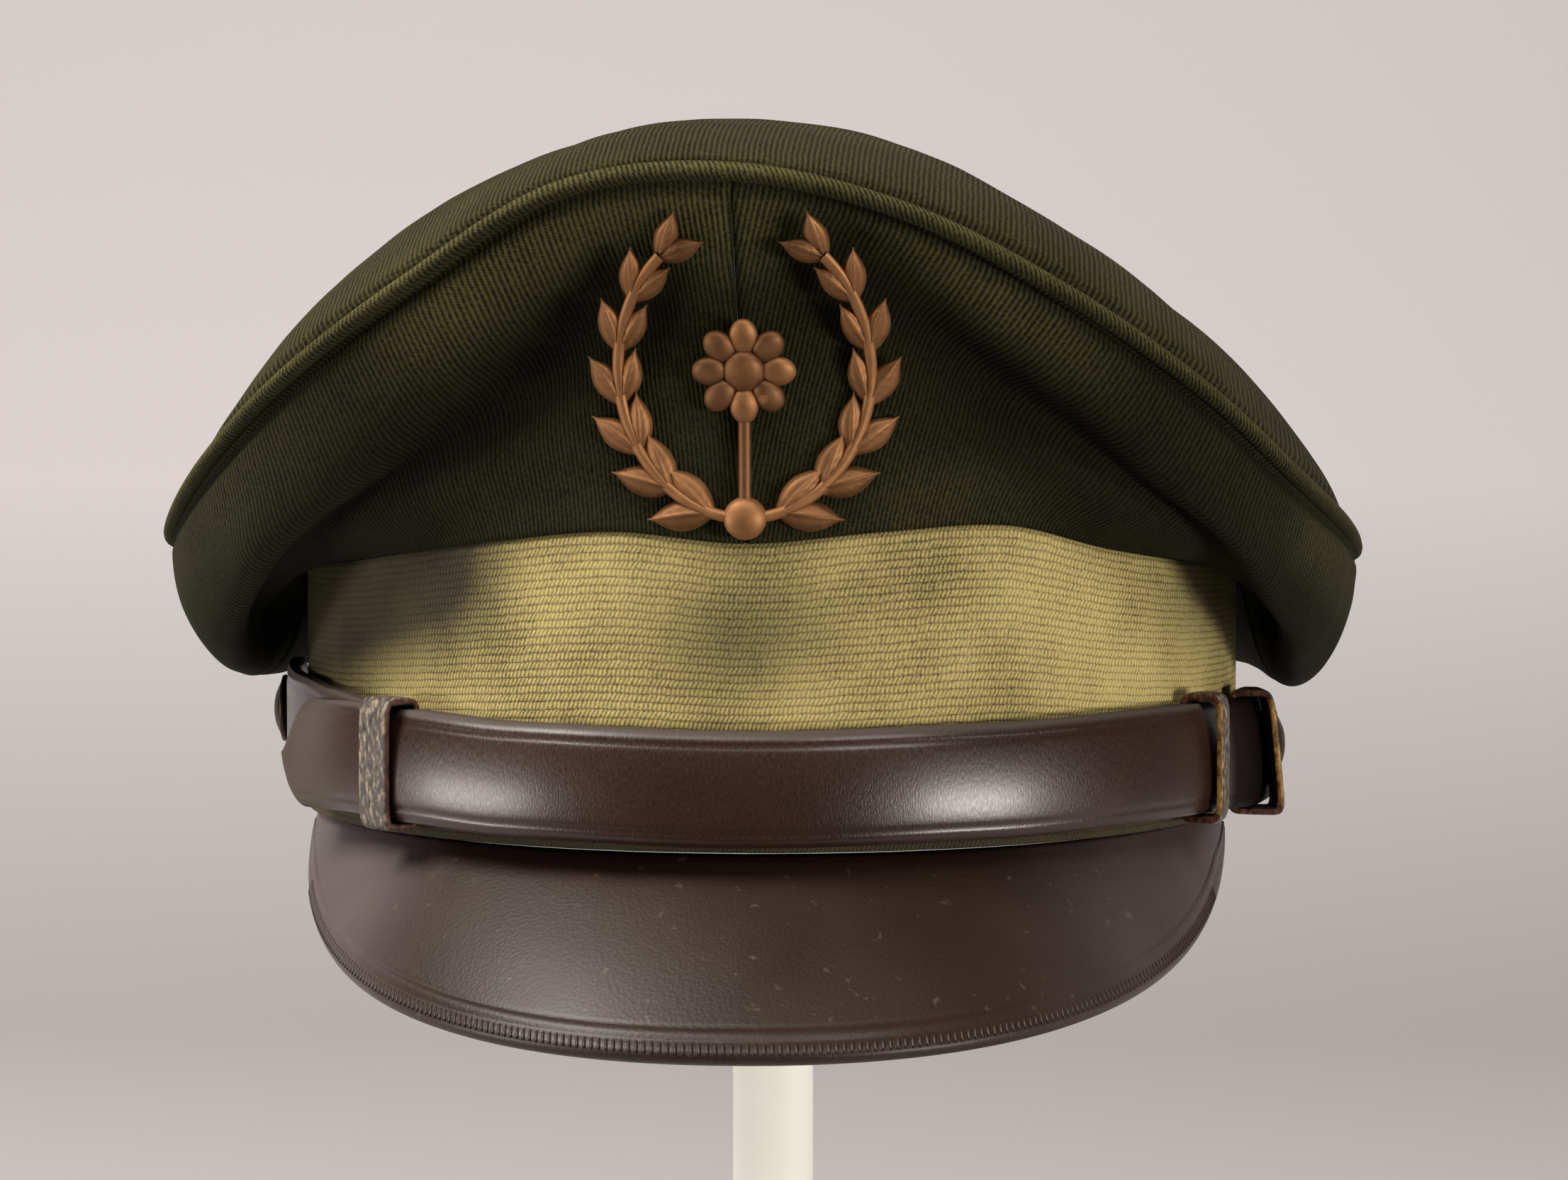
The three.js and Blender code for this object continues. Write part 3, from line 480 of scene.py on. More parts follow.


# %% [markdown]
# ## The crown's cloth
#
# The crown is wool elastique, a hard twisted worsted whose steep twill shows as fine ribs about a
# millimetre apart. Dark olive, matt, with a faint sheen of wool where light grazes it. The ribs are
# drawn from the UV map: a sine across them makes the ridges, a second one along them makes the
# twist of the yarn, and slow noise gives the uneven dye. The colour also follows the ribs' height,
# a painted shade between them, and an attribute darkens the cloth with painted shade in its folds
# and grooves and on the side away from the light.


# %% Wool elastique
def wool_elastique(name, dark, light, rib_mm=0.95, yarn_mm=0.62):
    made, tree, shader = new_material(name)
    uv = add(tree, "ShaderNodeUVMap", uv_map="length").outputs[0]
    place = add(tree, "ShaderNodeTexCoord").outputs["Object"]
    split = add(tree, "ShaderNodeSeparateXYZ", {0: uv})
    across, along = split.outputs[0], split.outputs[1]
    waver = add(tree, "ShaderNodeTexNoise", {"Vector": place, "Scale": 160.0, "Detail": 2.0}).outputs[0]
    across = maths(tree, "ADD", across, maths(tree, "MULTIPLY", waver, 0.5))
    rib = maths(tree, "SINE", maths(tree, "MULTIPLY", across, 2 * math.pi / rib_mm))
    skew = maths(tree, "ADD", along, maths(tree, "MULTIPLY", across, 0.8))
    yarn = maths(tree, "SINE", maths(tree, "MULTIPLY", skew, 2 * math.pi / yarn_mm))
    height = maths(tree, "MULTIPLY_ADD", yarn, 0.28, rib)
    share = maths(tree, "MULTIPLY_ADD", height, 0.42, 0.5)
    fuzz = add(tree, "ShaderNodeTexNoise", {"Vector": place, "Scale": 1500.0, "Detail": 4.0}).outputs[0]
    share = maths(tree, "MULTIPLY_ADD", maths(tree, "SUBTRACT", fuzz, 0.5), 1.6, share)
    clouds = add(tree, "ShaderNodeTexNoise", {"Vector": place, "Scale": 45.0, "Detail": 4.0}).outputs[0]
    share = maths(tree, "MULTIPLY_ADD", maths(tree, "SUBTRACT", clouds, 0.5), 0.7, share)
    share = add(tree, "ShaderNodeClamp", {0: share}).outputs[0]
    # The colour follows the ribs' height: painted shade in the gaps between the ribs and painted light on their
    # crests; the fine and slow noise vary the dye.
    colour = mixed(tree, share, linear(dark), linear(light))
    # Painted shade: where the attribute is low, the colour goes to a darker copy of itself, in the folds, the
    # grooves and the side away from the light.
    painted_light_and_shade = add(tree, "ShaderNodeAttribute", attribute_name="painted_light_and_shade").outputs["Fac"]
    shaded_colour = add(tree, "ShaderNodeHueSaturation", {"Value": 0.12, "Color": colour}).outputs[0]
    tree.links.new(mixed(tree, painted_light_and_shade, shaded_colour, colour), shader.inputs["Base Color"])
    bump = add(tree, "ShaderNodeBump", {"Height": height, "Strength": 0.55, "Distance": 0.16 * MM})
    tree.links.new(bump.outputs[0], shader.inputs["Normal"])
    shader.inputs["Roughness"].default_value = 0.92
    shader.inputs["Specular IOR Level"].default_value = 0.12
    shader.inputs["Sheen Weight"].default_value = 0.02
    shader.inputs["Sheen Roughness"].default_value = 0.45
    shader.inputs["Sheen Tint"].default_value = linear("#a8a070")
    return made


crown_cloth = wool_elastique("wool_elastique_dark_olive", "#1a190d", "#5a5530")
print(crown_cloth.name, len(crown_cloth.node_tree.nodes), "nodes")

# %% [markdown]
# ## The crown's side panels
#
# Four quarters are sewn together at the front, the back and the sides. Each is a grid on the
# panel's formula. Its edges dip into the seams, because the cloth is turned in there, and slow
# noise makes the small wrinkles of worn cloth. A Solidify modifier then gives it its wall.

# %% Side panels
CLOTH_WALL = 2.0
WELT_DIAMETER = 3.4
PANEL_SPREAD = 1.85  # millimetres of cloth to a degree, between the band and the welt
RIB_LEAN = {-1: 0.04, 1: 0.2}  # how far the ribs lean outwards on their way up, left and right
SEAM_REACH = 1.1
WELT_GROOVE = 1.9
SEAM_DEPTH = 1.1
SEAM_TUCK = 0.8  # how far the cloth's lower edge laps over the band
PANEL_CUT = (0.185, 0.078)  # the cloth that each quarter is cut from, in metres


def wrinkle(place, deep):
    """Slow unevenness of worn cloth at a place in millimetres."""
    return deep * (noise.noise(place / 26) + 0.35 * noise.noise(place / 9))


# The deep folds that run from the badge down to both ends of the band: how deep and how wide in
# millimetres, and the line that each follows, as angles and shares of the way up the panel.
FOLDS = [
    (5.5, 10, [(-12, 0.68), (-21, 0.57), (-32, 0.46), (-42, 0.36), (-58, 0.2), (-80, 0.1)]),
    (5.0, 10, [(10, 0.8), (18, 0.7), (28, 0.58), (38, 0.52), (47, 0.42), (58, 0.22), (80, 0.1)]),
]
PANEL_HEIGHT = 66


def fold(angle, up):
    """How far the folds press a side panel in, and how deep in them a place lies, from 0 to 1."""
    depth, deepest = 0, 0
    if abs(angle) > 115:
        return depth, deepest
    here = Vector((angle * PANEL_SPREAD, up * PANEL_HEIGHT))
    for deep, width, line in FOLDS:
        route = [Vector((a * PANEL_SPREAD, b * PANEL_HEIGHT)) for a, b in line]
        gap = 1e9
        for start, end in zip(route, route[1:]):
            foot, share = geometry.intersect_point_line(here, start, end)
            gap = min(gap, (here - start.lerp(end, min(1, max(0, share)))).length)
        depth, deepest = depth + deep * bell(gap / width), max(deepest, bell(gap / width / 1.35))
    return depth, deepest


def welt_groove(angle):
    """How deep the cloth dips beside the welt: it lies flatter over the drooping sides."""
    return WELT_GROOVE * (1 - 0.8 * bell((abs(turn_between(angle, 0)) - 85) / 30))


@functools.cache
def panel_reach(angle):
    """The share of the panel's curve at which it meets the welt."""
    low, high = 0.5, 1.0
    for _ in range(24):
        middle = (low + high) / 2
        if (panel_point(angle, middle) - welt_point(angle)).length > WELT_DIAMETER / 2 + 0.1:
            low = middle
        else:
            high = middle
    return low


def side_panel(name, start, end, node):
    side = 1 if start >= 0 else -1
    gap = math.degrees(0.02 / CROWN_FRONT)

    def angle_at(u):
        return round(start + gap + (end - start - 2 * gap) * u, 4)

    def place(u, v):
        angle = angle_at(u)
        tuck = SEAM_TUCK * max(0, 1 - v / 0.02)
        return panel_point(angle, v * panel_reach(angle)) - Vector((0, 0, tuck))

    def flat(u, v):
        up = v * PANEL_CUT[1] / MM
        return (angle_at(u) * PANEL_SPREAD - side * RIB_LEAN[side] * up, up)

    def depth(u, v, at):
        angle = angle_at(u)
        to_seam = min(angle - start, end - angle) * PANEL_SPREAD
        to_welt = (1 - v) * PANEL_CUT[1] / MM
        dip = SEAM_DEPTH * bell(to_seam / SEAM_REACH) + welt_groove(angle) * bell((to_welt - 1.3) / 1.0)
        calm = smooth_step(0, 0.12, v) * smooth_step(0, 0.1, 1 - v)
        return dip + calm * (wrinkle(at, 0.8) + fold(angle, v)[0])

    # Painted light and shade: lighter towards the welt and low on the right, darker on the right, away from the
    # key light, and on the sides past 24 degrees, darker still in the folds and in the grooves by the seams and
    # the welt; towards the back it evens out.
    def painted_light_and_shade(u, v):
        to_seam = min(angle_at(u) - start, end - angle_at(u)) * PANEL_SPREAD
        groove = max(bell(((1 - v) * PANEL_HEIGHT - 1) / 1.4), 0.7 * bell(to_seam / 0.8))
        angle = angle_at(u)
        lit_share = 0.22 + 0.78 * smooth_step(0.66, 0.92, v) - 0.22 * smooth_step(12, 30, angle)
        lit_share += 0.3 * smooth_step(12, 20, angle) * smooth_step(0.3, 0.05, v)
        shaded = (0.76 if angle < 0 else 0.9) * smooth_step(24, 42, abs(angle))
        shaded *= 1 - 0.6 * smooth_step(56, 70, angle)
        ahead = smooth_step(130, 95, abs(angle))
        painted_shading = 0.4 + (lit_share * (1 - shaded) - 0.4) * ahead
        return painted_shading * (1 - 0.95 * fold(angle, v)[1]) * (1 - 0.85 * groove)

    shape = formed(150, 84, place, flat, painted_light_and_shade)
    turned_out(shape, (0, 0, CAP_HEIGHT + FRONT_TOP))
    pressed(shape, depth)
    piece = finished(name, shape, crown_cloth, [node])
    walled(piece, CLOTH_WALL * 0.7)
    return piece


for name, start, end in (
    ("crown_front_left", -90, 0),
    ("crown_front_right", 0, 90),
    ("crown_back_left", -180, -90),
    ("crown_back_right", 90, 180),
):
    side_panel("cloth_" + name, start, end, name)

# %% [markdown]
# ## The top and the welt
#
# The top is one round of cloth. Its grid runs round the head and out from the peak, and its inmost
# row falls together into one corner there. The welt is a cord covered with the same cloth and sewn
# in between the top and the sides: a thin tube along the welt's line.


@functools.cache
def top_reach(angle):
    low, high = 0.5, 1.0
    for _ in range(24):
        middle = (low + high) / 2
        if (top_point(angle, middle) - welt_point(angle)).length > WELT_DIAMETER / 2 + 0.1:
            low = middle
        else:
            high = middle
    return low


def top_place(u, v):
    angle = round(-180 + 360 * u, 4)
    return top_point(angle, math.sin(v * math.pi / 2) * top_reach(angle))


def top_flat(u, v):
    spot = top_place(u, v)
    return (spot.x * 1.08, spot.y)


def top_depth(u, v, at):
    to_welt = (1 - math.sin(v * math.pi / 2)) * 115
    groove = welt_groove(-180 + 360 * u) * bell((to_welt - 1.1) / 0.9)
    return groove + smooth_step(0, 0.12, 1 - v) * wrinkle(at, 0.6)


# Painted shade: the top is painted darker than the sides' lit upper edge, and darker still in the groove beside
# the welt.
def top_painted_shade(u, v):
    return 0.45 * (1 - 0.9 * bell(((1 - math.sin(v * math.pi / 2)) * 115 - 0.6) / 1.1))


shape = formed(300, 96, top_place, top_flat, top_painted_shade)
turned_out(shape, (0, 0, CAP_HEIGHT))
pressed(shape, top_depth)
cloth_top = finished("cloth_crown_top", shape, crown_cloth, ["crown_top"])
walled(cloth_top, CLOTH_WALL * 0.7)


# %% Welt
def welt_place(u, v):
    angle = round(-180 + 360 * u, 4)
    turn = 2 * math.pi * v
    radius = WELT_DIAMETER / 2 - 0.1
    return welt_point(angle) + radius * (outwards(angle) * math.cos(turn) + Vector((0, 0, math.sin(turn))))


def welt_flat(u, v):
    return (u * 740 + v * 4, v * math.pi * WELT_DIAMETER)


def welt_light_and_shade(u, v):
    """Painted light along its crest, which looks forwards and up, and painted shade round the rest of the cord."""
    return 0.25 + 0.75 * bell(turn_between(360 * v, 35) / 55)


shape = turned_out(formed(420, 16, welt_place, welt_flat, welt_light_and_shade))
finished("crown_welt_cord", shape, crown_cloth, ["crown_welt"])

# %% [markdown]
# ## The braid band
#
# The band is mohair braid, woven in fine rows that run round the head. In each row short slanted
# threads stand side by side and cast tiny shadows. Rows and threads are drawn from the UV map in
# real millimetres, and the colour follows the same height, so those tiny shadows are painted shade
# as well as bumps, and the pattern shows in any light.


# %% Mohair braid
def mohair_braid(name, dark, light, row_mm=1.3, thread_mm=0.85):
    made, tree, shader = new_material(name)
    uv = add(tree, "ShaderNodeUVMap", uv_map="length").outputs[0]
    place = add(tree, "ShaderNodeTexCoord").outputs["Object"]
    split = add(tree, "ShaderNodeSeparateXYZ", {0: uv})
    waver = add(tree, "ShaderNodeTexNoise", {"Vector": place, "Scale": 220.0, "Detail": 2.0}).outputs[0]
    waver = maths(tree, "SUBTRACT", waver, 0.5)
    across = maths(tree, "MULTIPLY_ADD", waver, 0.8, split.outputs[0])
    rows = maths(tree, "DIVIDE", maths(tree, "MULTIPLY_ADD", waver, 0.6, split.outputs[1]), row_mm)
    row_share = maths(tree, "FRACT", rows)
    number = maths(tree, "FLOOR", rows)
    odd = maths(tree, "MODULO", number, 2.0)
    lean = maths(tree, "MULTIPLY_ADD", odd, 0.45, -0.85)
    threads = maths(tree, "DIVIDE", across, thread_mm)
    threads = maths(tree, "ADD", threads, maths(tree, "MULTIPLY", row_share, lean))
    threads = maths(tree, "MULTIPLY_ADD", odd, 0.5, threads)
    thread = maths(tree, "SINE", maths(tree, "MULTIPLY", threads, 2 * math.pi))
    row = maths(tree, "SINE", maths(tree, "MULTIPLY", row_share, math.pi))
    row = maths(tree, "POWER", row, 0.32)
    height = maths(tree, "MULTIPLY", row, maths(tree, "MULTIPLY_ADD", thread, 0.3, 0.7))
    fuzz = add(tree, "ShaderNodeTexNoise", {"Vector": place, "Scale": 2200.0, "Detail": 3.0}).outputs[0]
    share = maths(tree, "MULTIPLY_ADD", maths(tree, "SUBTRACT", fuzz, 0.5), 1.2, height)
    clouds = add(tree, "ShaderNodeTexNoise", {"Vector": place, "Scale": 50.0, "Detail": 5.0}).outputs[0]
    share = maths(tree, "MULTIPLY_ADD", maths(tree, "SUBTRACT", clouds, 0.5), 1.3, share)
    share = add(tree, "ShaderNodeClamp", {0: share}).outputs[0]
    # Painted shade in the gaps between rows and threads, where the colour follows their height.
    colour = mixed(tree, share, linear(dark), linear(light))
    # An attribute paints the braid darker: painted shadow under the crown's overhang, painted shade at its foot
    # and top edge, and a middle darkening that is partly soil and partly painted shade.
    painted_light_and_shade = add(tree, "ShaderNodeAttribute", attribute_name="painted_light_and_shade").outputs["Fac"]
    shaded_and_soiled = add(tree, "ShaderNodeHueSaturation", {"Value": 0.1, "Color": colour}).outputs[0]
    tree.links.new(mixed(tree, painted_light_and_shade, shaded_and_soiled, colour), shader.inputs["Base Color"])
    bump = add(tree, "ShaderNodeBump", {"Height": height, "Strength": 0.6, "Distance": 0.3 * MM})
    tree.links.new(bump.outputs[0], shader.inputs["Normal"])
    shader.inputs["Roughness"].default_value = 0.8
    shader.inputs["Specular IOR Level"].default_value = 0.3
    shader.inputs["Sheen Weight"].default_value = 0.15
    shader.inputs["Sheen Roughness"].default_value = 0.4
    shader.inputs["Sheen Tint"].default_value = linear("#e8dc9a")
    return made


band_braid = mohair_braid("mohair_braid_khaki", "#4c4020", "#c0ad6d")
print(band_braid.name, len(band_braid.node_tree.nodes), "nodes")

# %% Band
BAND_WALL = 3.0
BAND_EDGE = 1.2
# angle, spread in degrees, depth in millimetres
BAND_HOLLOWS = [(-1, 10, 2.6), (-44, 11, 1.4), (38, 9, 0.8), (112, 16, 1), (-150, 18, 1)]


def band_place(u, v):
    """The braid is folded over a stiffener: v runs up its face, over its top and down inside."""
    angle = round(-180 + 360 * u, 4)
    top = BAND_HEIGHT * section(angle)["top"]
    share = abs(2 * v - 1)  # 1 at both lower edges, 0 at the fold
    up = min(1, (1 - share) * 1.03)
    out = -BAND_WALL / 2 + (BAND_WALL / 2 if v < 0.5 else -BAND_WALL / 2) * math.sqrt(
        max(0, 1 - max(0, (up * top - (top - BAND_EDGE)) / BAND_EDGE) ** 2)
    )
    hollow = sum(deep * bell(turn_between(angle, middle) / wide) for middle, wide, deep in BAND_HOLLOWS)
    return oval_point(angle, out - hollow * math.sin(math.pi * up), top * up)


def band_flat(u, v):
    return (u * 597, (1 - abs(2 * v - 1)) * BAND_HEIGHT)


def band_shade_and_soil(u, v):
    """Painted shadow where the crown hangs over the braid at both sides, painted shade at its foot and along its
    top edge, and at the middle, where fingers have pressed it in, a darkening that is partly soil and partly
    painted shade.
    """
    angle, up = turn_between(-180 + 360 * u, 0), 1 - abs(2 * v - 1)
    left = smooth_step(-22, -38, angle) * smooth_step(0.36, 0.75, up - 0.006 * (angle + 55))
    right = smooth_step(50, 66, angle) * smooth_step(0.5, 0.9, up)
    middle = bell((angle + 1) / 11) * bell((up - 0.66) / 0.2)
    ahead = smooth_step(125, 90, abs(angle))
    left, right = left * ahead, right * ahead
    foot = 1 - smooth_step(0.06, 0.13, up) + 0.2 * smooth_step(-24, -40, angle) * ahead
    return max(0, 1 - foot - 0.95 * left - 0.8 * right - 0.65 * middle - 0.3 * bell((up - 1) / 0.05))


shape = turned_out(formed(360, 96, band_place, band_flat, band_shade_and_soil))
crown_band = finished("crown_band", shape, band_braid, ["band"])

# %% [markdown]
# ## The visor
#
# The visor is lacquered leather over board, dark brown gone satin with age. Its front half keeps a
# soft sheen, and years of handling left scratches, specks and a rubbed edge. The finish is a brown
# leather with a thin coat: noise varies the roughness and scatters pale specks, and an attribute
# that runs across the visor paints a lighter, greyer sheen at both sides, more on the left.


# %% Visor leather
def visor_leather(name):
    made, tree, shader = new_material(name)
    place = add(tree, "ShaderNodeTexCoord").outputs["Object"]
    grain = add(tree, "ShaderNodeTexVoronoi", {"Vector": place, "Scale": 1500.0}).outputs[0]
    clouds = add(tree, "ShaderNodeTexNoise", {"Vector": place, "Scale": 38.0, "Detail": 5.0}).outputs[0]
    base = mixed(tree, clouds, linear("#1b0f0b"), linear("#301d15"))
    specks = add(tree, "ShaderNodeTexNoise", {"Vector": place, "Scale": 420.0, "Detail": 2.0}).outputs[0]
    specks = add(
        tree,
        "ShaderNodeValToRGB",
        {0: specks},
        stops=[(0.68, (0, 0, 0, 1)), (0.76, (1, 1, 1, 1))],
    ).outputs[0]
    # Painted sheen: the attribute mixes the visor's sides towards a lighter, greyer colour, unevenly with the
    # noise.
    painted_light_and_shade = add(tree, "ShaderNodeAttribute", attribute_name="painted_light_and_shade").outputs["Fac"]
    sheen_share = maths(tree, "MULTIPLY", painted_light_and_shade, maths(tree, "MULTIPLY_ADD", clouds, 0.8, 0.6))
    base = mixed(tree, sheen_share, base, linear("#5f5554"))
    base = mixed(tree, maths(tree, "MULTIPLY", specks, 0.15), base, linear("#8a7a6a"))
    tree.links.new(base, shader.inputs["Base Color"])
    rough = maths(tree, "MULTIPLY_ADD", clouds, 0.25, 0.36)
    tree.links.new(rough, shader.inputs["Roughness"])
    height = maths(tree, "MULTIPLY_ADD", grain, 0.5, clouds)
    bump = add(tree, "ShaderNodeBump", {"Height": height, "Strength": 0.3, "Distance": 0.3 * MM})
    tree.links.new(bump.outputs[0], shader.inputs["Normal"])
    shader.inputs["Specular IOR Level"].default_value = 0.28
    shader.inputs["Coat Weight"].default_value = 0.14
    shader.inputs["Coat Roughness"].default_value = 0.32
    return made


visor_finish = visor_leather("satin_visor_leather")

# %% Visor
VISOR_REACH, VISOR_LENGTH, VISOR_TUCK = 80, 44, 2
VISOR_SLOPE, VISOR_SIDE_SLOPE = 39, 62
VISOR_WALL = 2.4


@functools.cache
def visor_frame(angle):
    """The visor at an angle: where it starts, the way down it, the way square to it, its length."""
    share = abs(angle) / VISOR_REACH
    length = VISOR_TUCK + VISOR_LENGTH * (1 - share * share)
    slope = math.radians(VISOR_SLOPE + (VISOR_SIDE_SLOPE - VISOR_SLOPE) * share**1.8)
    fan = math.radians(angle * 0.36)
    out = Vector((math.sin(fan), -math.cos(fan), 0))
    up = Vector((0, 0, 1))
    along = out * math.cos(slope) - up * math.sin(slope)
    square = out * math.sin(slope) + up * math.cos(slope)
    return oval_point(angle, -VISOR_TUCK, -SEAM_GAP), along, square, length


# The rim's profile: millimetres from the visor's edge, and height over its face
RIM = [
    (6.4, 0),
    (5.9, -0.12),
    (5.5, 0.05),
    (5.1, 0.22),
    (4.5, 0.32),
    (3.9, 0.26),
    (3.4, 0.08),
    (3.1, 0.02),
    (2.4, 0.16),
    (1.5, 0.2),
    (0.7, 0.06),
    (0.2, -0.3),
    (0, -0.9),
    (0, -1.6),
    (0.3, -2.1),
    (1, -2.4),
]


def visor_height(angle, out, depth):
    return 2 * (1 - abs(angle) / VISOR_REACH) * math.sin(math.pi * out) - depth


def visor_profile(angle):
    """The closed outline of the visor at an angle, as shares of its length and heights."""
    length = visor_frame(angle)[3]
    tight = min(1, length / 13)
    face = [(k / 24 * (1 - 7 * tight / length), 0) for k in range(25)]
    rim = [(1 - far * tight / length, high) for far, high in RIM]
    under = [((1 - k / 12) * (1 - 2 * tight / length), -VISOR_WALL) for k in range(13)]
    return face + rim + under


VISOR_ROWS = len(visor_profile(0.0))
visor_end = VISOR_REACH - 1.9


def visor_place(u, v):
    angle = round(-visor_end + 2 * visor_end * v, 4)
    out, height = visor_profile(angle)[round(u * (VISOR_ROWS - 1))]
    start, along, square, length = visor_frame(angle)
    return start + along * (length * out) + square * visor_height(angle, out, -height)


def visor_flat(u, v):
    angle = round(-visor_end + 2 * visor_end * v, 4)
    out = visor_profile(angle)[round(u * (VISOR_ROWS - 1))][0]
    return (angle * 2.1, out * visor_frame(angle)[3])


def visor_painted_sheen(u, v):
    """A painted sheen at both sides, lighter and greyer, more on the left."""
    angle = -visor_end + 2 * visor_end * v
    return 0.6 * smooth_step(-34, -54, angle) + 0.35 * smooth_step(24, 50, angle)


shape = formed(VISOR_ROWS - 1, 240, visor_place, visor_flat, visor_painted_sheen)
inner = [[v for v in shape.verts if abs(v[shape.verts.layers.float["u"]] - k) < 1e-4] for k in (0, 1)]
bmesh.ops.bridge_loops(shape, edges=[e for e in shape.edges if e.is_boundary and any(
    e.verts[0] in row and e.verts[1] in row for row in inner)])
bmesh.ops.holes_fill(shape, edges=[e for e in shape.edges if e.is_boundary])
turned_out(shape)
visor = finished("leather_visor", shape, visor_finish, ["visor"])

# %% [markdown]
# A row of stitches holds the rim's binding. Each stitch is a short rounded bar of thread that lies
# across the rim and sinks at both ends. They are capsules, scaled from a small sphere and laid
# along the rim's own frame, one every 1.3 mm.

# %% Rim stitches
STITCH_PITCH, STITCH_LENGTH, STITCH_WIDTH = 1.3, 2.7, 0.75
shape = bmesh.new()
angle = -66.0
while angle < 66:
    start, along, square, length = visor_frame(angle)
    out = 1 - 1.7 / length
    middle = start + along * (length * out) + square * visor_height(angle, out, -0.12)
    ahead = visor_frame(angle + 0.5)
    step = (ahead[0] + ahead[1] * (ahead[3] - 1.7) - start - along * (length - 1.7)) / 0.5
    across = step.normalized()
    frame_matrix = Matrix((across, along, across.cross(along))).transposed().to_4x4()
    size = Matrix.Diagonal((STITCH_WIDTH / 2, STITCH_LENGTH / 2, 0.3, 1))
    place = Matrix.Translation(middle * MM) @ frame_matrix @ Matrix.Scale(MM, 4) @ size
    bmesh.ops.create_uvsphere(shape, u_segments=8, v_segments=6, radius=1, matrix=place)
    angle += STITCH_PITCH / step.length
turned_out(shape)
finished("visor_rim_stitches", shape, visor_finish)

# %% [markdown]
# ## The chin strap
#
# Two straps cross the front, one over the other, each held by a button at one side. They are
# polished leather, so the side lights stand in them as broken white glints. Fine cross streaks
# break the glints up: the grain runs across the strap and was rolled into it. The strap's profile
# is a flat loop with rounded edges and a crease near each edge, swept round the band.


# %% Strap leather
def strap_leather(name, dark, light, rough=0.22):
    made, tree, shader = new_material(name)
    uv = add(tree, "ShaderNodeUVMap", uv_map="length").outputs[0]
    place = add(tree, "ShaderNodeTexCoord").outputs["Object"]
    stretch = add(tree, "ShaderNodeMapping", {"Vector": uv, "Scale": (3.2, 1.1, 1.0)}).outputs[0]
    streaks = add(tree, "ShaderNodeTexNoise", {"Vector": stretch, "Scale": 1.0, "Detail": 4.0}).outputs[0]
    clouds = add(tree, "ShaderNodeTexNoise", {"Vector": place, "Scale": 60.0, "Detail": 4.0}).outputs[0]
    share = maths(tree, "MULTIPLY_ADD", maths(tree, "SUBTRACT", streaks, 0.5), 1.2, clouds)
    share = add(tree, "ShaderNodeClamp", {0: share}).outputs[0]
    painted_light_and_shade = add(tree, "ShaderNodeAttribute", attribute_name="painted_light_and_shade").outputs["Fac"]
    # Painted sheen and shadow: plus values turn the colour grey and the finish dull along the upper lip and at the
    # tip, minus values paint the strap black and matt inside the loose keeper.
    painted_sheen = maths(tree, "MAXIMUM", painted_light_and_shade, 0.0)
    painted_shadow = maths(tree, "MAXIMUM", maths(tree, "MULTIPLY", painted_light_and_shade, -1.0), 0.0)
    colour = mixed(tree, share, linear(dark), linear(light))
    colour = mixed(tree, maths(tree, "MULTIPLY", painted_sheen, 0.6), colour, linear("#4d443c"))
    colour = mixed(tree, painted_shadow, colour, linear("#050303"))
    tree.links.new(colour, shader.inputs["Base Color"])
    dull = maths(tree, "MULTIPLY_ADD", maths(tree, "ADD", painted_sheen, painted_shadow), 0.45, rough - 0.1)
    tree.links.new(maths(tree, "MULTIPLY_ADD", streaks, 0.4, dull), shader.inputs["Roughness"])
    tree.links.new(maths(tree, "MULTIPLY_ADD", painted_shadow, -0.36, 0.4), shader.inputs["Specular IOR Level"])
    coat = maths(tree, "MULTIPLY_ADD", maths(tree, "ADD", painted_sheen, painted_shadow), -0.3, 0.3)
    tree.links.new(coat, shader.inputs["Coat Weight"])
    height = maths(tree, "MULTIPLY_ADD", clouds, 0.8, streaks)
    bump = add(tree, "ShaderNodeBump", {"Height": height, "Strength": 0.4, "Distance": 0.14 * MM})
    tree.links.new(bump.outputs[0], shader.inputs["Normal"])
    shader.inputs["Coat Roughness"].default_value = 0.24
    return made


strap_finish = strap_leather("polished_strap_leather", "#1f110c", "#351e17")

# %% Straps
STRAP_WIDTH, STRAP_WALL, STRAP_HEIGHT = 19, 1.8, 10.4
INNER_OFFSET, OUTER_OFFSET = 2.1, 4.2
BUTTON_ANGLE, INNER_LIFT = 88, 6
END_ANGLE = math.degrees(STRAP_WIDTH / 2 / HALF_LENGTH)
KEEPER_LEFT, KEEPER_RIGHT, KEEPER_LOOSE = -48, 57, 74
LOOP_LEFT, LOOP_RIGHT = -42.7, 58.5  # where the two have slipped to, when worn
TIP_ANGLE = LOOP_LEFT - math.degrees(38 / HALF_LENGTH)


# How much higher than in front's middle each strap runs at an angle: it climbs to its button
OUTER_CLIMB = [(-70, 1.2), (-60, 2.1), (-48, 2.6), (-40, 2.1), (-25, 1.2), (0, 0.5), (25, 1.1), (48, 1.9),
               (60, 1.8), (74, 0.8), (94, 0)]
INNER_CLIMB = [(-94, 6), (-88, 6), (-66, 5), (-57, 3.9), (-48, 2.8), (-40, 2.1), (-25, 1.2), (0, 0.5),
               (25, 1.1), (61, 2)]


def climb(table, angle):
    for (a, low), (b, high) in zip(table, table[1:]):
        if angle <= b:
            return low + (high - low) * smooth_step(a, b, angle)
    return table[-1][1]


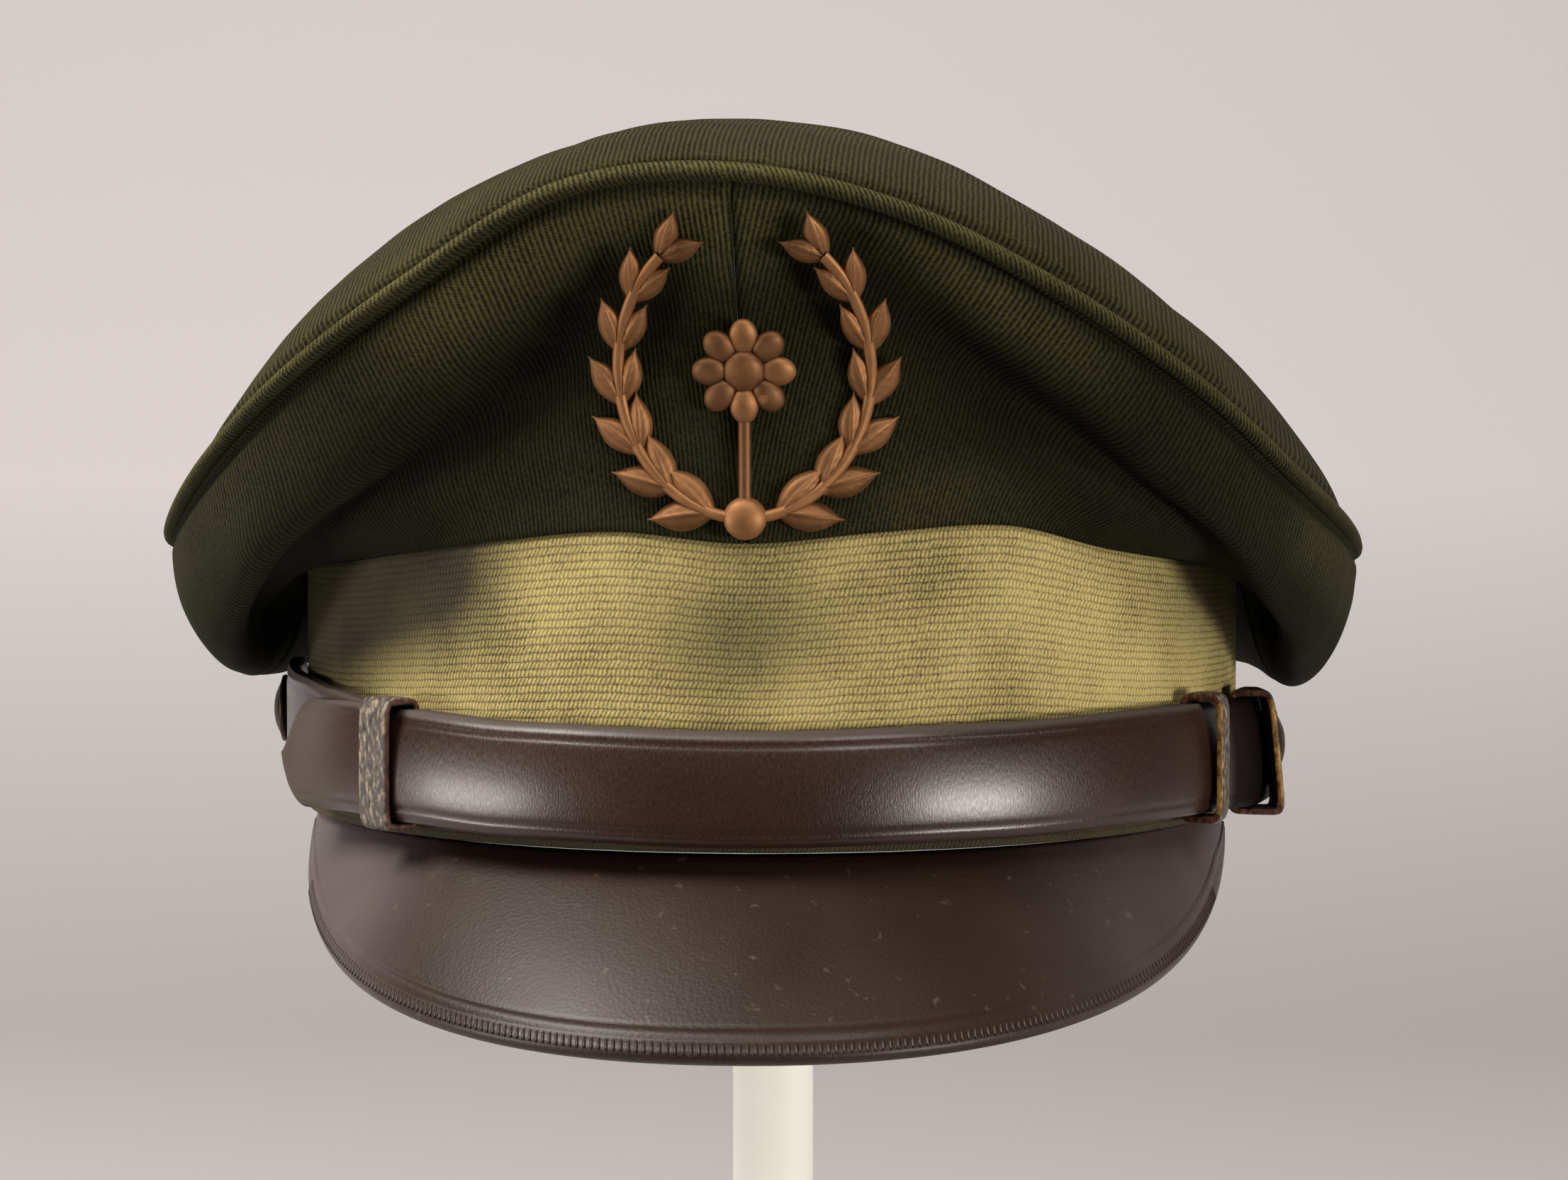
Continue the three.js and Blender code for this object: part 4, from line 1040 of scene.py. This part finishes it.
def strap_outline(domed):
    """The strap's closed profile: offset from its back, and height as a share of half its width."""
    face = []
    for k in range(41):
        up = math.sin(math.pi * (k / 40 - 0.5))
        bulge = domed * (1 - up * up) ** 0.7
        groove = 0.2 * bell((abs(up) - 0.76) / 0.04)
        face.append((STRAP_WALL - 0.5 * abs(up) ** 10 + bulge - groove - up * domed * 0.6, up))
    low = face[0][0] - STRAP_WALL
    high = face[-1][0] - STRAP_WALL
    edge_up = [(high + STRAP_WALL * (0.5 + 0.5 * math.cos(math.pi * k / 6)), 1) for k in range(1, 7)]
    back = [(high + (low - high) * k / 8, 1 - 2 * k / 8) for k in range(1, 8)]
    edge_low = [(low + STRAP_WALL * (0.5 - 0.5 * math.cos(math.pi * k / 6)), -1) for k in range(0, 6)]
    return face + edge_up + back + edge_low


def strap(name, start, end, offset, climbing, domed, node):
    outline = strap_outline(domed)
    rows = len(outline) - 1
    length = math.radians(1) * HALF_LENGTH

    def ring(v):
        angle = start + (end - start) * (1 - math.cos(v * math.pi)) / 2
        to_end = min(angle - start, end - angle) * length
        near = min(1, to_end / (STRAP_WIDTH / 2))
        return round(angle, 4), STRAP_WIDTH / 2 * math.sqrt(max(0.0004, 1 - (1 - near) ** 2))

    def place(u, v):
        angle, half = ring(v)
        out, up = outline[round(u * rows)]
        lift = 1.2 * smooth_step(-50, TIP_ANGLE, angle) if domed else 0
        return oval_point(angle, offset + out + lift, STRAP_HEIGHT + climb(climbing, angle) + up * half)

    def flat(u, v):
        angle, half = ring(v)
        return (angle * length, outline[round(u * rows)][1] * half)

    def painted_light_and_shade(u, v):
        """Plus along the upper lip and at the tip, a painted grey sheen, also dull; minus inside the loose keeper,
        a painted black shadow.
        """
        hidden = smooth_step(60, 64, ring(v)[0]) * (1 - smooth_step(82, 90, ring(v)[0]))
        painted_sheen = smooth_step(0.86, 0.97, outline[round(u * rows)][1])
        tip = 0.9 * bell((ring(v)[0] - TIP_ANGLE - 6) / 6) if domed else 0
        return max(painted_sheen, tip) * (1 - hidden) - 0.9 * hidden

    shape = formed(rows, 260, place, flat, painted_light_and_shade)
    sides = [e for e in shape.edges if e.is_boundary and e.verts[0][shape.verts.layers.float["u"]] in (0, 1)
             and e.verts[1][shape.verts.layers.float["u"]] in (0, 1)
             and abs(e.verts[0][shape.verts.layers.float["v"]] - e.verts[1][shape.verts.layers.float["v"]]) > 1e-6]
    bmesh.ops.bridge_loops(shape, edges=sides)
    bmesh.ops.holes_fill(shape, edges=[e for e in shape.edges if e.is_boundary])
    turned_out(shape)
    return finished(name, shape, strap_finish, [node])


outer_end, inner_end = BUTTON_ANGLE + END_ANGLE, KEEPER_RIGHT + 0.6 * END_ANGLE
strap("leather_strap_outer", TIP_ANGLE, outer_end, OUTER_OFFSET, OUTER_CLIMB, 1.3, "strap_outer")
strap("leather_strap_inner", -outer_end, inner_end, INNER_OFFSET, INNER_CLIMB, 0, "strap_inner")

# %% [markdown]
# ## The keepers
#
# Three loops of the same leather keep the straps together. Two fit closely; the third is loose and
# stands off. Their faces are worn tan in streaks, and their cut edges show the raw orange-brown
# leather. The loop is a rounded rectangle swept round a rounded slot.


# %% Keeper leathers
def worn_leather(name, dark, middle, light, rough):
    made, tree, shader = new_material(name)
    place = add(tree, "ShaderNodeTexCoord").outputs["Object"]
    stretch = add(tree, "ShaderNodeMapping", {"Vector": place, "Scale": (1300, 1300, 650)}).outputs[0]
    streaks = add(tree, "ShaderNodeTexNoise", {"Vector": stretch, "Scale": 1.0, "Detail": 5.0}).outputs[0]
    ramp = add(
        tree,
        "ShaderNodeValToRGB",
        {0: streaks},
        stops=[(0.3, linear(dark)), (0.5, linear(middle)), (0.68, linear(light))],
    )
    tree.links.new(ramp.outputs[0], shader.inputs["Base Color"])
    shader.inputs["Roughness"].default_value = rough
    bump = add(tree, "ShaderNodeBump", {"Height": streaks, "Strength": 0.6, "Distance": 0.3 * MM})
    tree.links.new(bump.outputs[0], shader.inputs["Normal"])
    return made


keeper_face = worn_leather("worn_keeper_leather", "#17110f", "#4a4039", "#8c7e69", 0.55)
dark_edge = worn_leather("dyed_leather_edge", "#1d0d08", "#4a2414", "#6e4426", 0.6)
raw_edge = worn_leather("raw_cut_leather_edge", "#4e300f", "#8f6428", "#bb9350", 0.7)
# Painted shade: a near-black leather for the inside faces of the loops, where shade falls.
inside = worn_leather("painted_shade_leather_inside", "#0c0706", "#150d0b", "#241812", 0.8)


# %% Keepers
KEEPER_WALL = 1.4


def keeper(name, angle, depth, width, play, lean, flare, edge, node):
    """A loop round the straps: an outline that is nearly a rectangle, swept by a flat section."""
    out_dir = outwards(angle)
    side_dir = Vector((-out_dir.y, out_dir.x, 0))
    half_out, half_up = depth / 2, STRAP_WIDTH / 2 + play + KEEPER_WALL / 2

    def spot_at(v):
        turn = 2 * math.pi * v
        x, y = math.cos(turn), math.sin(turn)
        return Vector((math.copysign(abs(x) ** 0.3, x) * half_out, math.copysign(abs(y) ** 0.3, y) * half_up))

    def place(u, v):
        spot = spot_at(v)
        ahead = (spot_at(v + 0.001) - spot_at(v - 0.001)).normalized()
        away = Vector((ahead.y, -ahead.x))
        turn = 2 * math.pi * u
        thick, wide = (math.copysign(abs(f) ** 0.35, f) for f in (math.cos(turn), math.sin(turn)))
        spot = spot + away * (thick * KEEPER_WALL / 2)
        outer = smooth_step(-half_out, half_out, spot.x)
        swing = outer * (lean * (0.5 - spot.y / (2 * half_up)) - flare * wide * math.copysign(1, angle))
        height = STRAP_HEIGHT + climb(OUTER_CLIMB, angle) + spot.y
        foot = oval_point(angle, 1.8 + depth / 2 + spot.x + swing, height)
        return foot + side_dir * (wide * width / 2)

    shape = turned_out(formed(28, 200, place, lambda u, v: (u * 20, v * 60)))
    around, along = (shape.verts.layers.float[name] for name in ("u", "v"))
    # Faces on the inside of the loop get the painted shade leather; the side faces get an edge leather.
    for face in shape.faces:
        shares = [corner[around] for corner in face.verts]
        on_outer_wall = math.cos(2 * math.pi * face.verts[0][along]) > 0.72
        share = min(shares) + 0.5 / 28 if max(shares) - min(shares) < 0.5 else 0.98
        if abs(face.normal.dot(side_dir)) > 0.75:
            face.material_index = 1 if on_outer_wall else 3
        elif 0.25 < share < 0.75:
            face.material_index = 2
    return finished(name, shape, [keeper_face, edge, inside, dark_edge], [node])


keeper("loop_left", LOOP_LEFT, 6.6, 7.8, 0.5, 0, 0, dark_edge, "keeper_left")
keeper("loop_right", LOOP_RIGHT, 6.8, 5.6, 0.5, 0, 0.6, raw_edge, "keeper_right")
keeper("loop_loose", KEEPER_LOOSE, 5.9, 8.6, 0.4, 2.2, 1.6, raw_edge, "keeper_loose")

# %% [markdown]
# ## The side buttons
#
# A button at each side holds a strap. They are bronze gone nearly black, with a bright rim where
# the strap rubs. The button's profile is spun about the line that is square to the band.

# %% Blackened bronze
dark_bronze, tree, shader = new_material("blackened_bronze")
place = add(tree, "ShaderNodeTexCoord").outputs["Object"]
clouds = add(tree, "ShaderNodeTexNoise", {"Vector": place, "Scale": 500.0, "Detail": 4.0}).outputs[0]
tree.links.new(mixed(tree, clouds, linear("#1c1510"), linear("#4a3826")), shader.inputs["Base Color"])
tree.links.new(maths(tree, "MULTIPLY_ADD", clouds, 0.3, 0.25), shader.inputs["Roughness"])
shader.inputs["Metallic"].default_value = 0.9

# %% Buttons
BUTTON_PROFILE = [
    (0, 0.3),
    (1.5, 0.3),
    (5.6, 0.3),
    (6.1, 0.6),
    (6.25, 1.1),
    (6.1, 1.5),
    (5.7, 1.6),
    (5.4, 1.45),
    (5.0, 1.8),
    (4.2, 2.2),
    (3.1, 2.7),
    (1.8, 3.0),
    (0.8, 3.1),
    (0, 3.12),
]
for name, angle, height, under in (
    ("button_left", -BUTTON_ANGLE, STRAP_HEIGHT + INNER_LIFT, INNER_OFFSET + STRAP_WALL),
    ("button_right", BUTTON_ANGLE, STRAP_HEIGHT, OUTER_OFFSET + STRAP_WALL),
):
    out_dir = outwards(angle)
    shape = bmesh.new()
    foot = oval_point(angle, under, height)
    profile = [shape.verts.new(Vector((r, 0, z)) * MM) for r, z in BUTTON_PROFILE]
    line = [shape.edges.new(pair) for pair in zip(profile, profile[1:])]
    bmesh.ops.spin(shape, geom=profile + line, cent=(0, 0, 0), axis=(0, 0, 1), angle=2 * math.pi,
                   steps=48, use_merge=True)
    bmesh.ops.remove_doubles(shape, verts=shape.verts, dist=0.002 * MM)
    turn = out_dir.to_track_quat("Z", "Y").to_matrix().to_4x4()
    bmesh.ops.transform(shape, verts=shape.verts, matrix=Matrix.Translation(foot * MM) @ turn)
    turned_out(shape)
    finished(name, shape, dark_bronze, ["side_" + name])

# %% [markdown]
# ## The badge
#
# The badge is stamped copper, an open wreath round a rosette on a stalk. Handling keeps the high
# parts bright, while the hollows go brown. The parts are drawn flat, x across and y up, and are
# then laid on the curved front of the crown. Pointiness, which tells ridges from hollows, drives
# the colour, and noise varies the roughness.

# %% Aged copper
aged_copper, tree, shader = new_material("aged_copper")
place = add(tree, "ShaderNodeTexCoord").outputs["Object"]
point = add(tree, "ShaderNodeNewGeometry").outputs["Pointiness"]
ridges = add(
    tree, "ShaderNodeValToRGB", {0: point}, stops=[(0.47, (0, 0, 0, 1)), (0.56, (1, 1, 1, 1))]
).outputs[0]
clouds = add(tree, "ShaderNodeTexNoise", {"Vector": place, "Scale": 420.0, "Detail": 4.0}).outputs[0]
share = maths(tree, "MULTIPLY_ADD", ridges, 0.6, maths(tree, "MULTIPLY", clouds, 0.5))
tree.links.new(mixed(tree, share, linear("#54351e"), linear("#a8774c")), shader.inputs["Base Color"])
tree.links.new(maths(tree, "MULTIPLY_ADD", clouds, 0.3, 0.4), shader.inputs["Roughness"])
shader.inputs["Metallic"].default_value = 0.75

# %% Badge
BADGE_WIDTH, BADGE_HEIGHT, BADGE_STANDOFF, BADGE_WALL = 50, 54, 0.8, 1.4
LEAF_LENGTH, LEAF_WIDTH, LEAF_LEAN, LEAF_PAIRS = 11, 5.6, 26, 7
WREATH_FOOT, WREATH_END = math.radians(16), math.radians(140)
BADGE_MIDDLE = CAP_HEIGHT + FRONT_TOP + 1 + BADGE_HEIGHT / 2


def stem_point(turn, side):
    across, up = BADGE_WIDTH / 2 - LEAF_WIDTH * 0.75, BADGE_HEIGHT / 2 - LEAF_WIDTH * 0.5
    return Vector((side * across * math.sin(turn), -up * math.cos(turn), 0))


def front_depth(across, height):
    """How far forward the crown's front face is, at a place across and a height."""
    angle, up = across / 2.0, 0.5
    for _ in range(6):
        low, high = 0.0, 1.0
        for _ in range(16):
            up = (low + high) / 2
            if panel_point(angle, up).z < height:
                low = up
            else:
                high = up
        angle += math.degrees((across - panel_point(angle, up).x) / HALF_LENGTH)
    return -panel_point(angle, up).y


GRID_X, GRID_Z = 17, 17
depths = [
    [front_depth((i / (GRID_X - 1) - 0.5) * 56, BADGE_MIDDLE + (k / (GRID_Z - 1) - 0.5) * 58)
     for i in range(GRID_X)]
    for k in range(GRID_Z)
]


def front_depth_quick(x, y):
    """The same, read from a small grid that was worked out once."""
    i, k = (x / 56 + 0.5) * (GRID_X - 1), (y / 58 + 0.5) * (GRID_Z - 1)
    i, k = min(max(i, 0), GRID_X - 1.001), min(max(k, 0), GRID_Z - 1.001)
    a, b = int(i), int(k)
    s, t = i - a, k - b
    near = depths[b][a] * (1 - s) + depths[b][a + 1] * s
    far = depths[b + 1][a] * (1 - s) + depths[b + 1][a + 1] * s
    return near * (1 - t) + far * t


def leaf(shape, foot, heading, size):
    """A pointed leaf: a grid whose rows narrow to the tip, arched, with a raised midrib."""
    made = bmesh.ops.create_grid(shape, x_segments=12, y_segments=18, size=0.5)["verts"]
    turn = Matrix.Rotation(heading - math.pi / 2, 3, "Z")
    for corner in made:
        u, v = corner.co.x * 2, corner.co.y + 0.5
        half = LEAF_WIDTH / 2 * size * math.sin(math.pi * min(1, v * 0.86 + 0.1)) ** 0.75 * (1 - v**5)
        rib = 0.55 * bell(u / 0.13) * (1 - v**3)
        arch = 1.0 * (1 - u * u) * math.sin(math.pi * (0.1 + 0.85 * v))
        vein = 0.14 * math.cos(2 * math.pi * (v * 6 - abs(u) * 1.6)) * (1 - abs(u)) * (1 - bell(u / 0.2))
        rim = 0.9 * (1 - abs(u) ** 6)
        spot = turn @ Vector((u * max(half, 0.12), v * LEAF_LENGTH * size, 0)) + foot
        corner.co = Vector((spot.x, spot.y, rim + arch + rib + vein)) * MM


def ball(shape, middle, half_sizes, heading=0.0, sides=20):
    matrix = (
        Matrix.Translation(Vector(middle) * MM)
        @ Matrix.Rotation(heading, 4, "Z")
        @ Matrix.Diagonal((*[half * MM for half in half_sizes], 1))
    )
    bmesh.ops.create_uvsphere(shape, u_segments=sides, v_segments=sides // 2, radius=1, matrix=matrix)


def stem(shape, route, radius, sides=10):
    """A round bar along a route of places."""
    rows = []
    for k, spot in enumerate(route):
        ahead = (route[min(k + 1, len(route) - 1)] - route[max(k - 1, 0)]).normalized()
        level = ahead.cross(Vector((0, 0, 1))).normalized()
        rise = level.cross(ahead)
        made = bmesh.ops.create_circle(shape, segments=sides, radius=radius * MM)["verts"]
        for corner in made:
            x, y = corner.co.x, corner.co.y
            corner.co = spot * MM + level * x + rise * y
        rows.append(made)
    edges = [edge for row in rows for corner in row for edge in corner.link_edges]
    bmesh.ops.bridge_loops(shape, edges=list(set(edges)))


shape = bmesh.new()
for side in (-1, 1):
    route = [stem_point(WREATH_END * k / 40, side) + Vector((0, 0, 1.1)) for k in range(41)]
    stem(shape, route, 1.0)
    for k in range(LEAF_PAIRS):
        turn = WREATH_FOOT + (WREATH_END - WREATH_FOOT) * k / (LEAF_PAIRS - 1)
        ahead = stem_point(turn + 0.02, side) - stem_point(turn, side)
        for lean in (-1, 1):
            heading = math.atan2(ahead.y, ahead.x) + lean * math.radians(LEAF_LEAN)
            leaf(shape, stem_point(turn, side), heading, 1 - 0.3 * turn / WREATH_END)
stem(shape, [Vector((0, -25 + k, 1.0)) for k in range(22)], 1.1)
ball(shape, (0, stem_point(0, 1).y, 1.2), (3.6, 3.6, 2.2))
ball(shape, (0, 0, 0.8), (6.4, 6.4, 1.2), sides=32)
for k in range(8):
    turn = 2 * math.pi * k / 8
    spot = (5.6 * math.cos(turn), 5.6 * math.sin(turn), 1.5)
    ball(shape, spot, (3.0, 2.4, 1.7), turn)
ball(shape, (0, 0, 1.6), (3.5, 3.5, 2.3), sides=28)
for corner in shape.verts:
    x, y, out = corner.co / MM
    corner.co = Vector((x, -(front_depth_quick(x, y) + BADGE_STANDOFF + out), BADGE_MIDDLE + y)) * MM
bmesh.ops.recalc_face_normals(shape, faces=shape.faces)
badge = finished("copper_badge", shape, aged_copper, ["badge"])

# %% [markdown]
# ## The stand
#
# A turned stand carries the cap inside its crown: a foot, a post and a round head, painted matt
# off-white. The paint is a little uneven. The CAD parts have facets, so each is spun again with
# more steps, to the same size.

# %% Stand
stand_paint, tree, shader = new_material("matt_off_white_paint")
place = add(tree, "ShaderNodeTexCoord").outputs["Object"]
clouds = add(tree, "ShaderNodeTexNoise", {"Vector": place, "Scale": 60.0, "Detail": 4.0}).outputs[0]
tree.links.new(mixed(tree, clouds, linear("#f3f4e6"), linear("#fbfcf4")), shader.inputs["Base Color"])
shader.inputs["Roughness"].default_value = 0.6


def lathed(name, profile, node, steps=96):
    shape = bmesh.new()
    corners = [shape.verts.new(Vector((r, 0, z)) * MM) for r, z in profile]
    line = [shape.edges.new(pair) for pair in zip(corners, corners[1:])]
    bmesh.ops.spin(shape, geom=corners + line, cent=(0, 0, 0), axis=(0, 0, 1), angle=2 * math.pi,
                   steps=steps, use_merge=True)
    bmesh.ops.remove_doubles(shape, verts=shape.verts, dist=0.002 * MM)
    turned_out(shape)
    return finished(name, shape, stand_paint, [node], crease=40)


base_low, base_high = (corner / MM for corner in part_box("stand_base"))
post_low, post_high = (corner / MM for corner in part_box("stand_post"))
head_low, head_high = (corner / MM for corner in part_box("stand_head"))
radius, edge = base_high.x, 3
bend = [math.radians(90) * k / 8 for k in range(9)]
rounded = [(radius - edge * (1 - math.cos(b)), base_high.z - edge * (1 - math.sin(b))) for b in bend]
lathed("turned_base", [(0, 0), (radius, 0), *rounded, (0, base_high.z)], "stand_base")
r = post_high.x
lathed("turned_post", [(0, post_low.z), (r, post_low.z), (r, post_high.z), (0, post_high.z)], "stand_post")
r = head_high.x
drop = [r * (8 - k) / 8 for k in range(9)]
dome = [(d, head_high.z - (130 - math.sqrt(130 * 130 - d * d))) for d in drop]
lathed("turned_head", [(0, head_low.z), (r - 3, head_low.z), *dome], "stand_head")
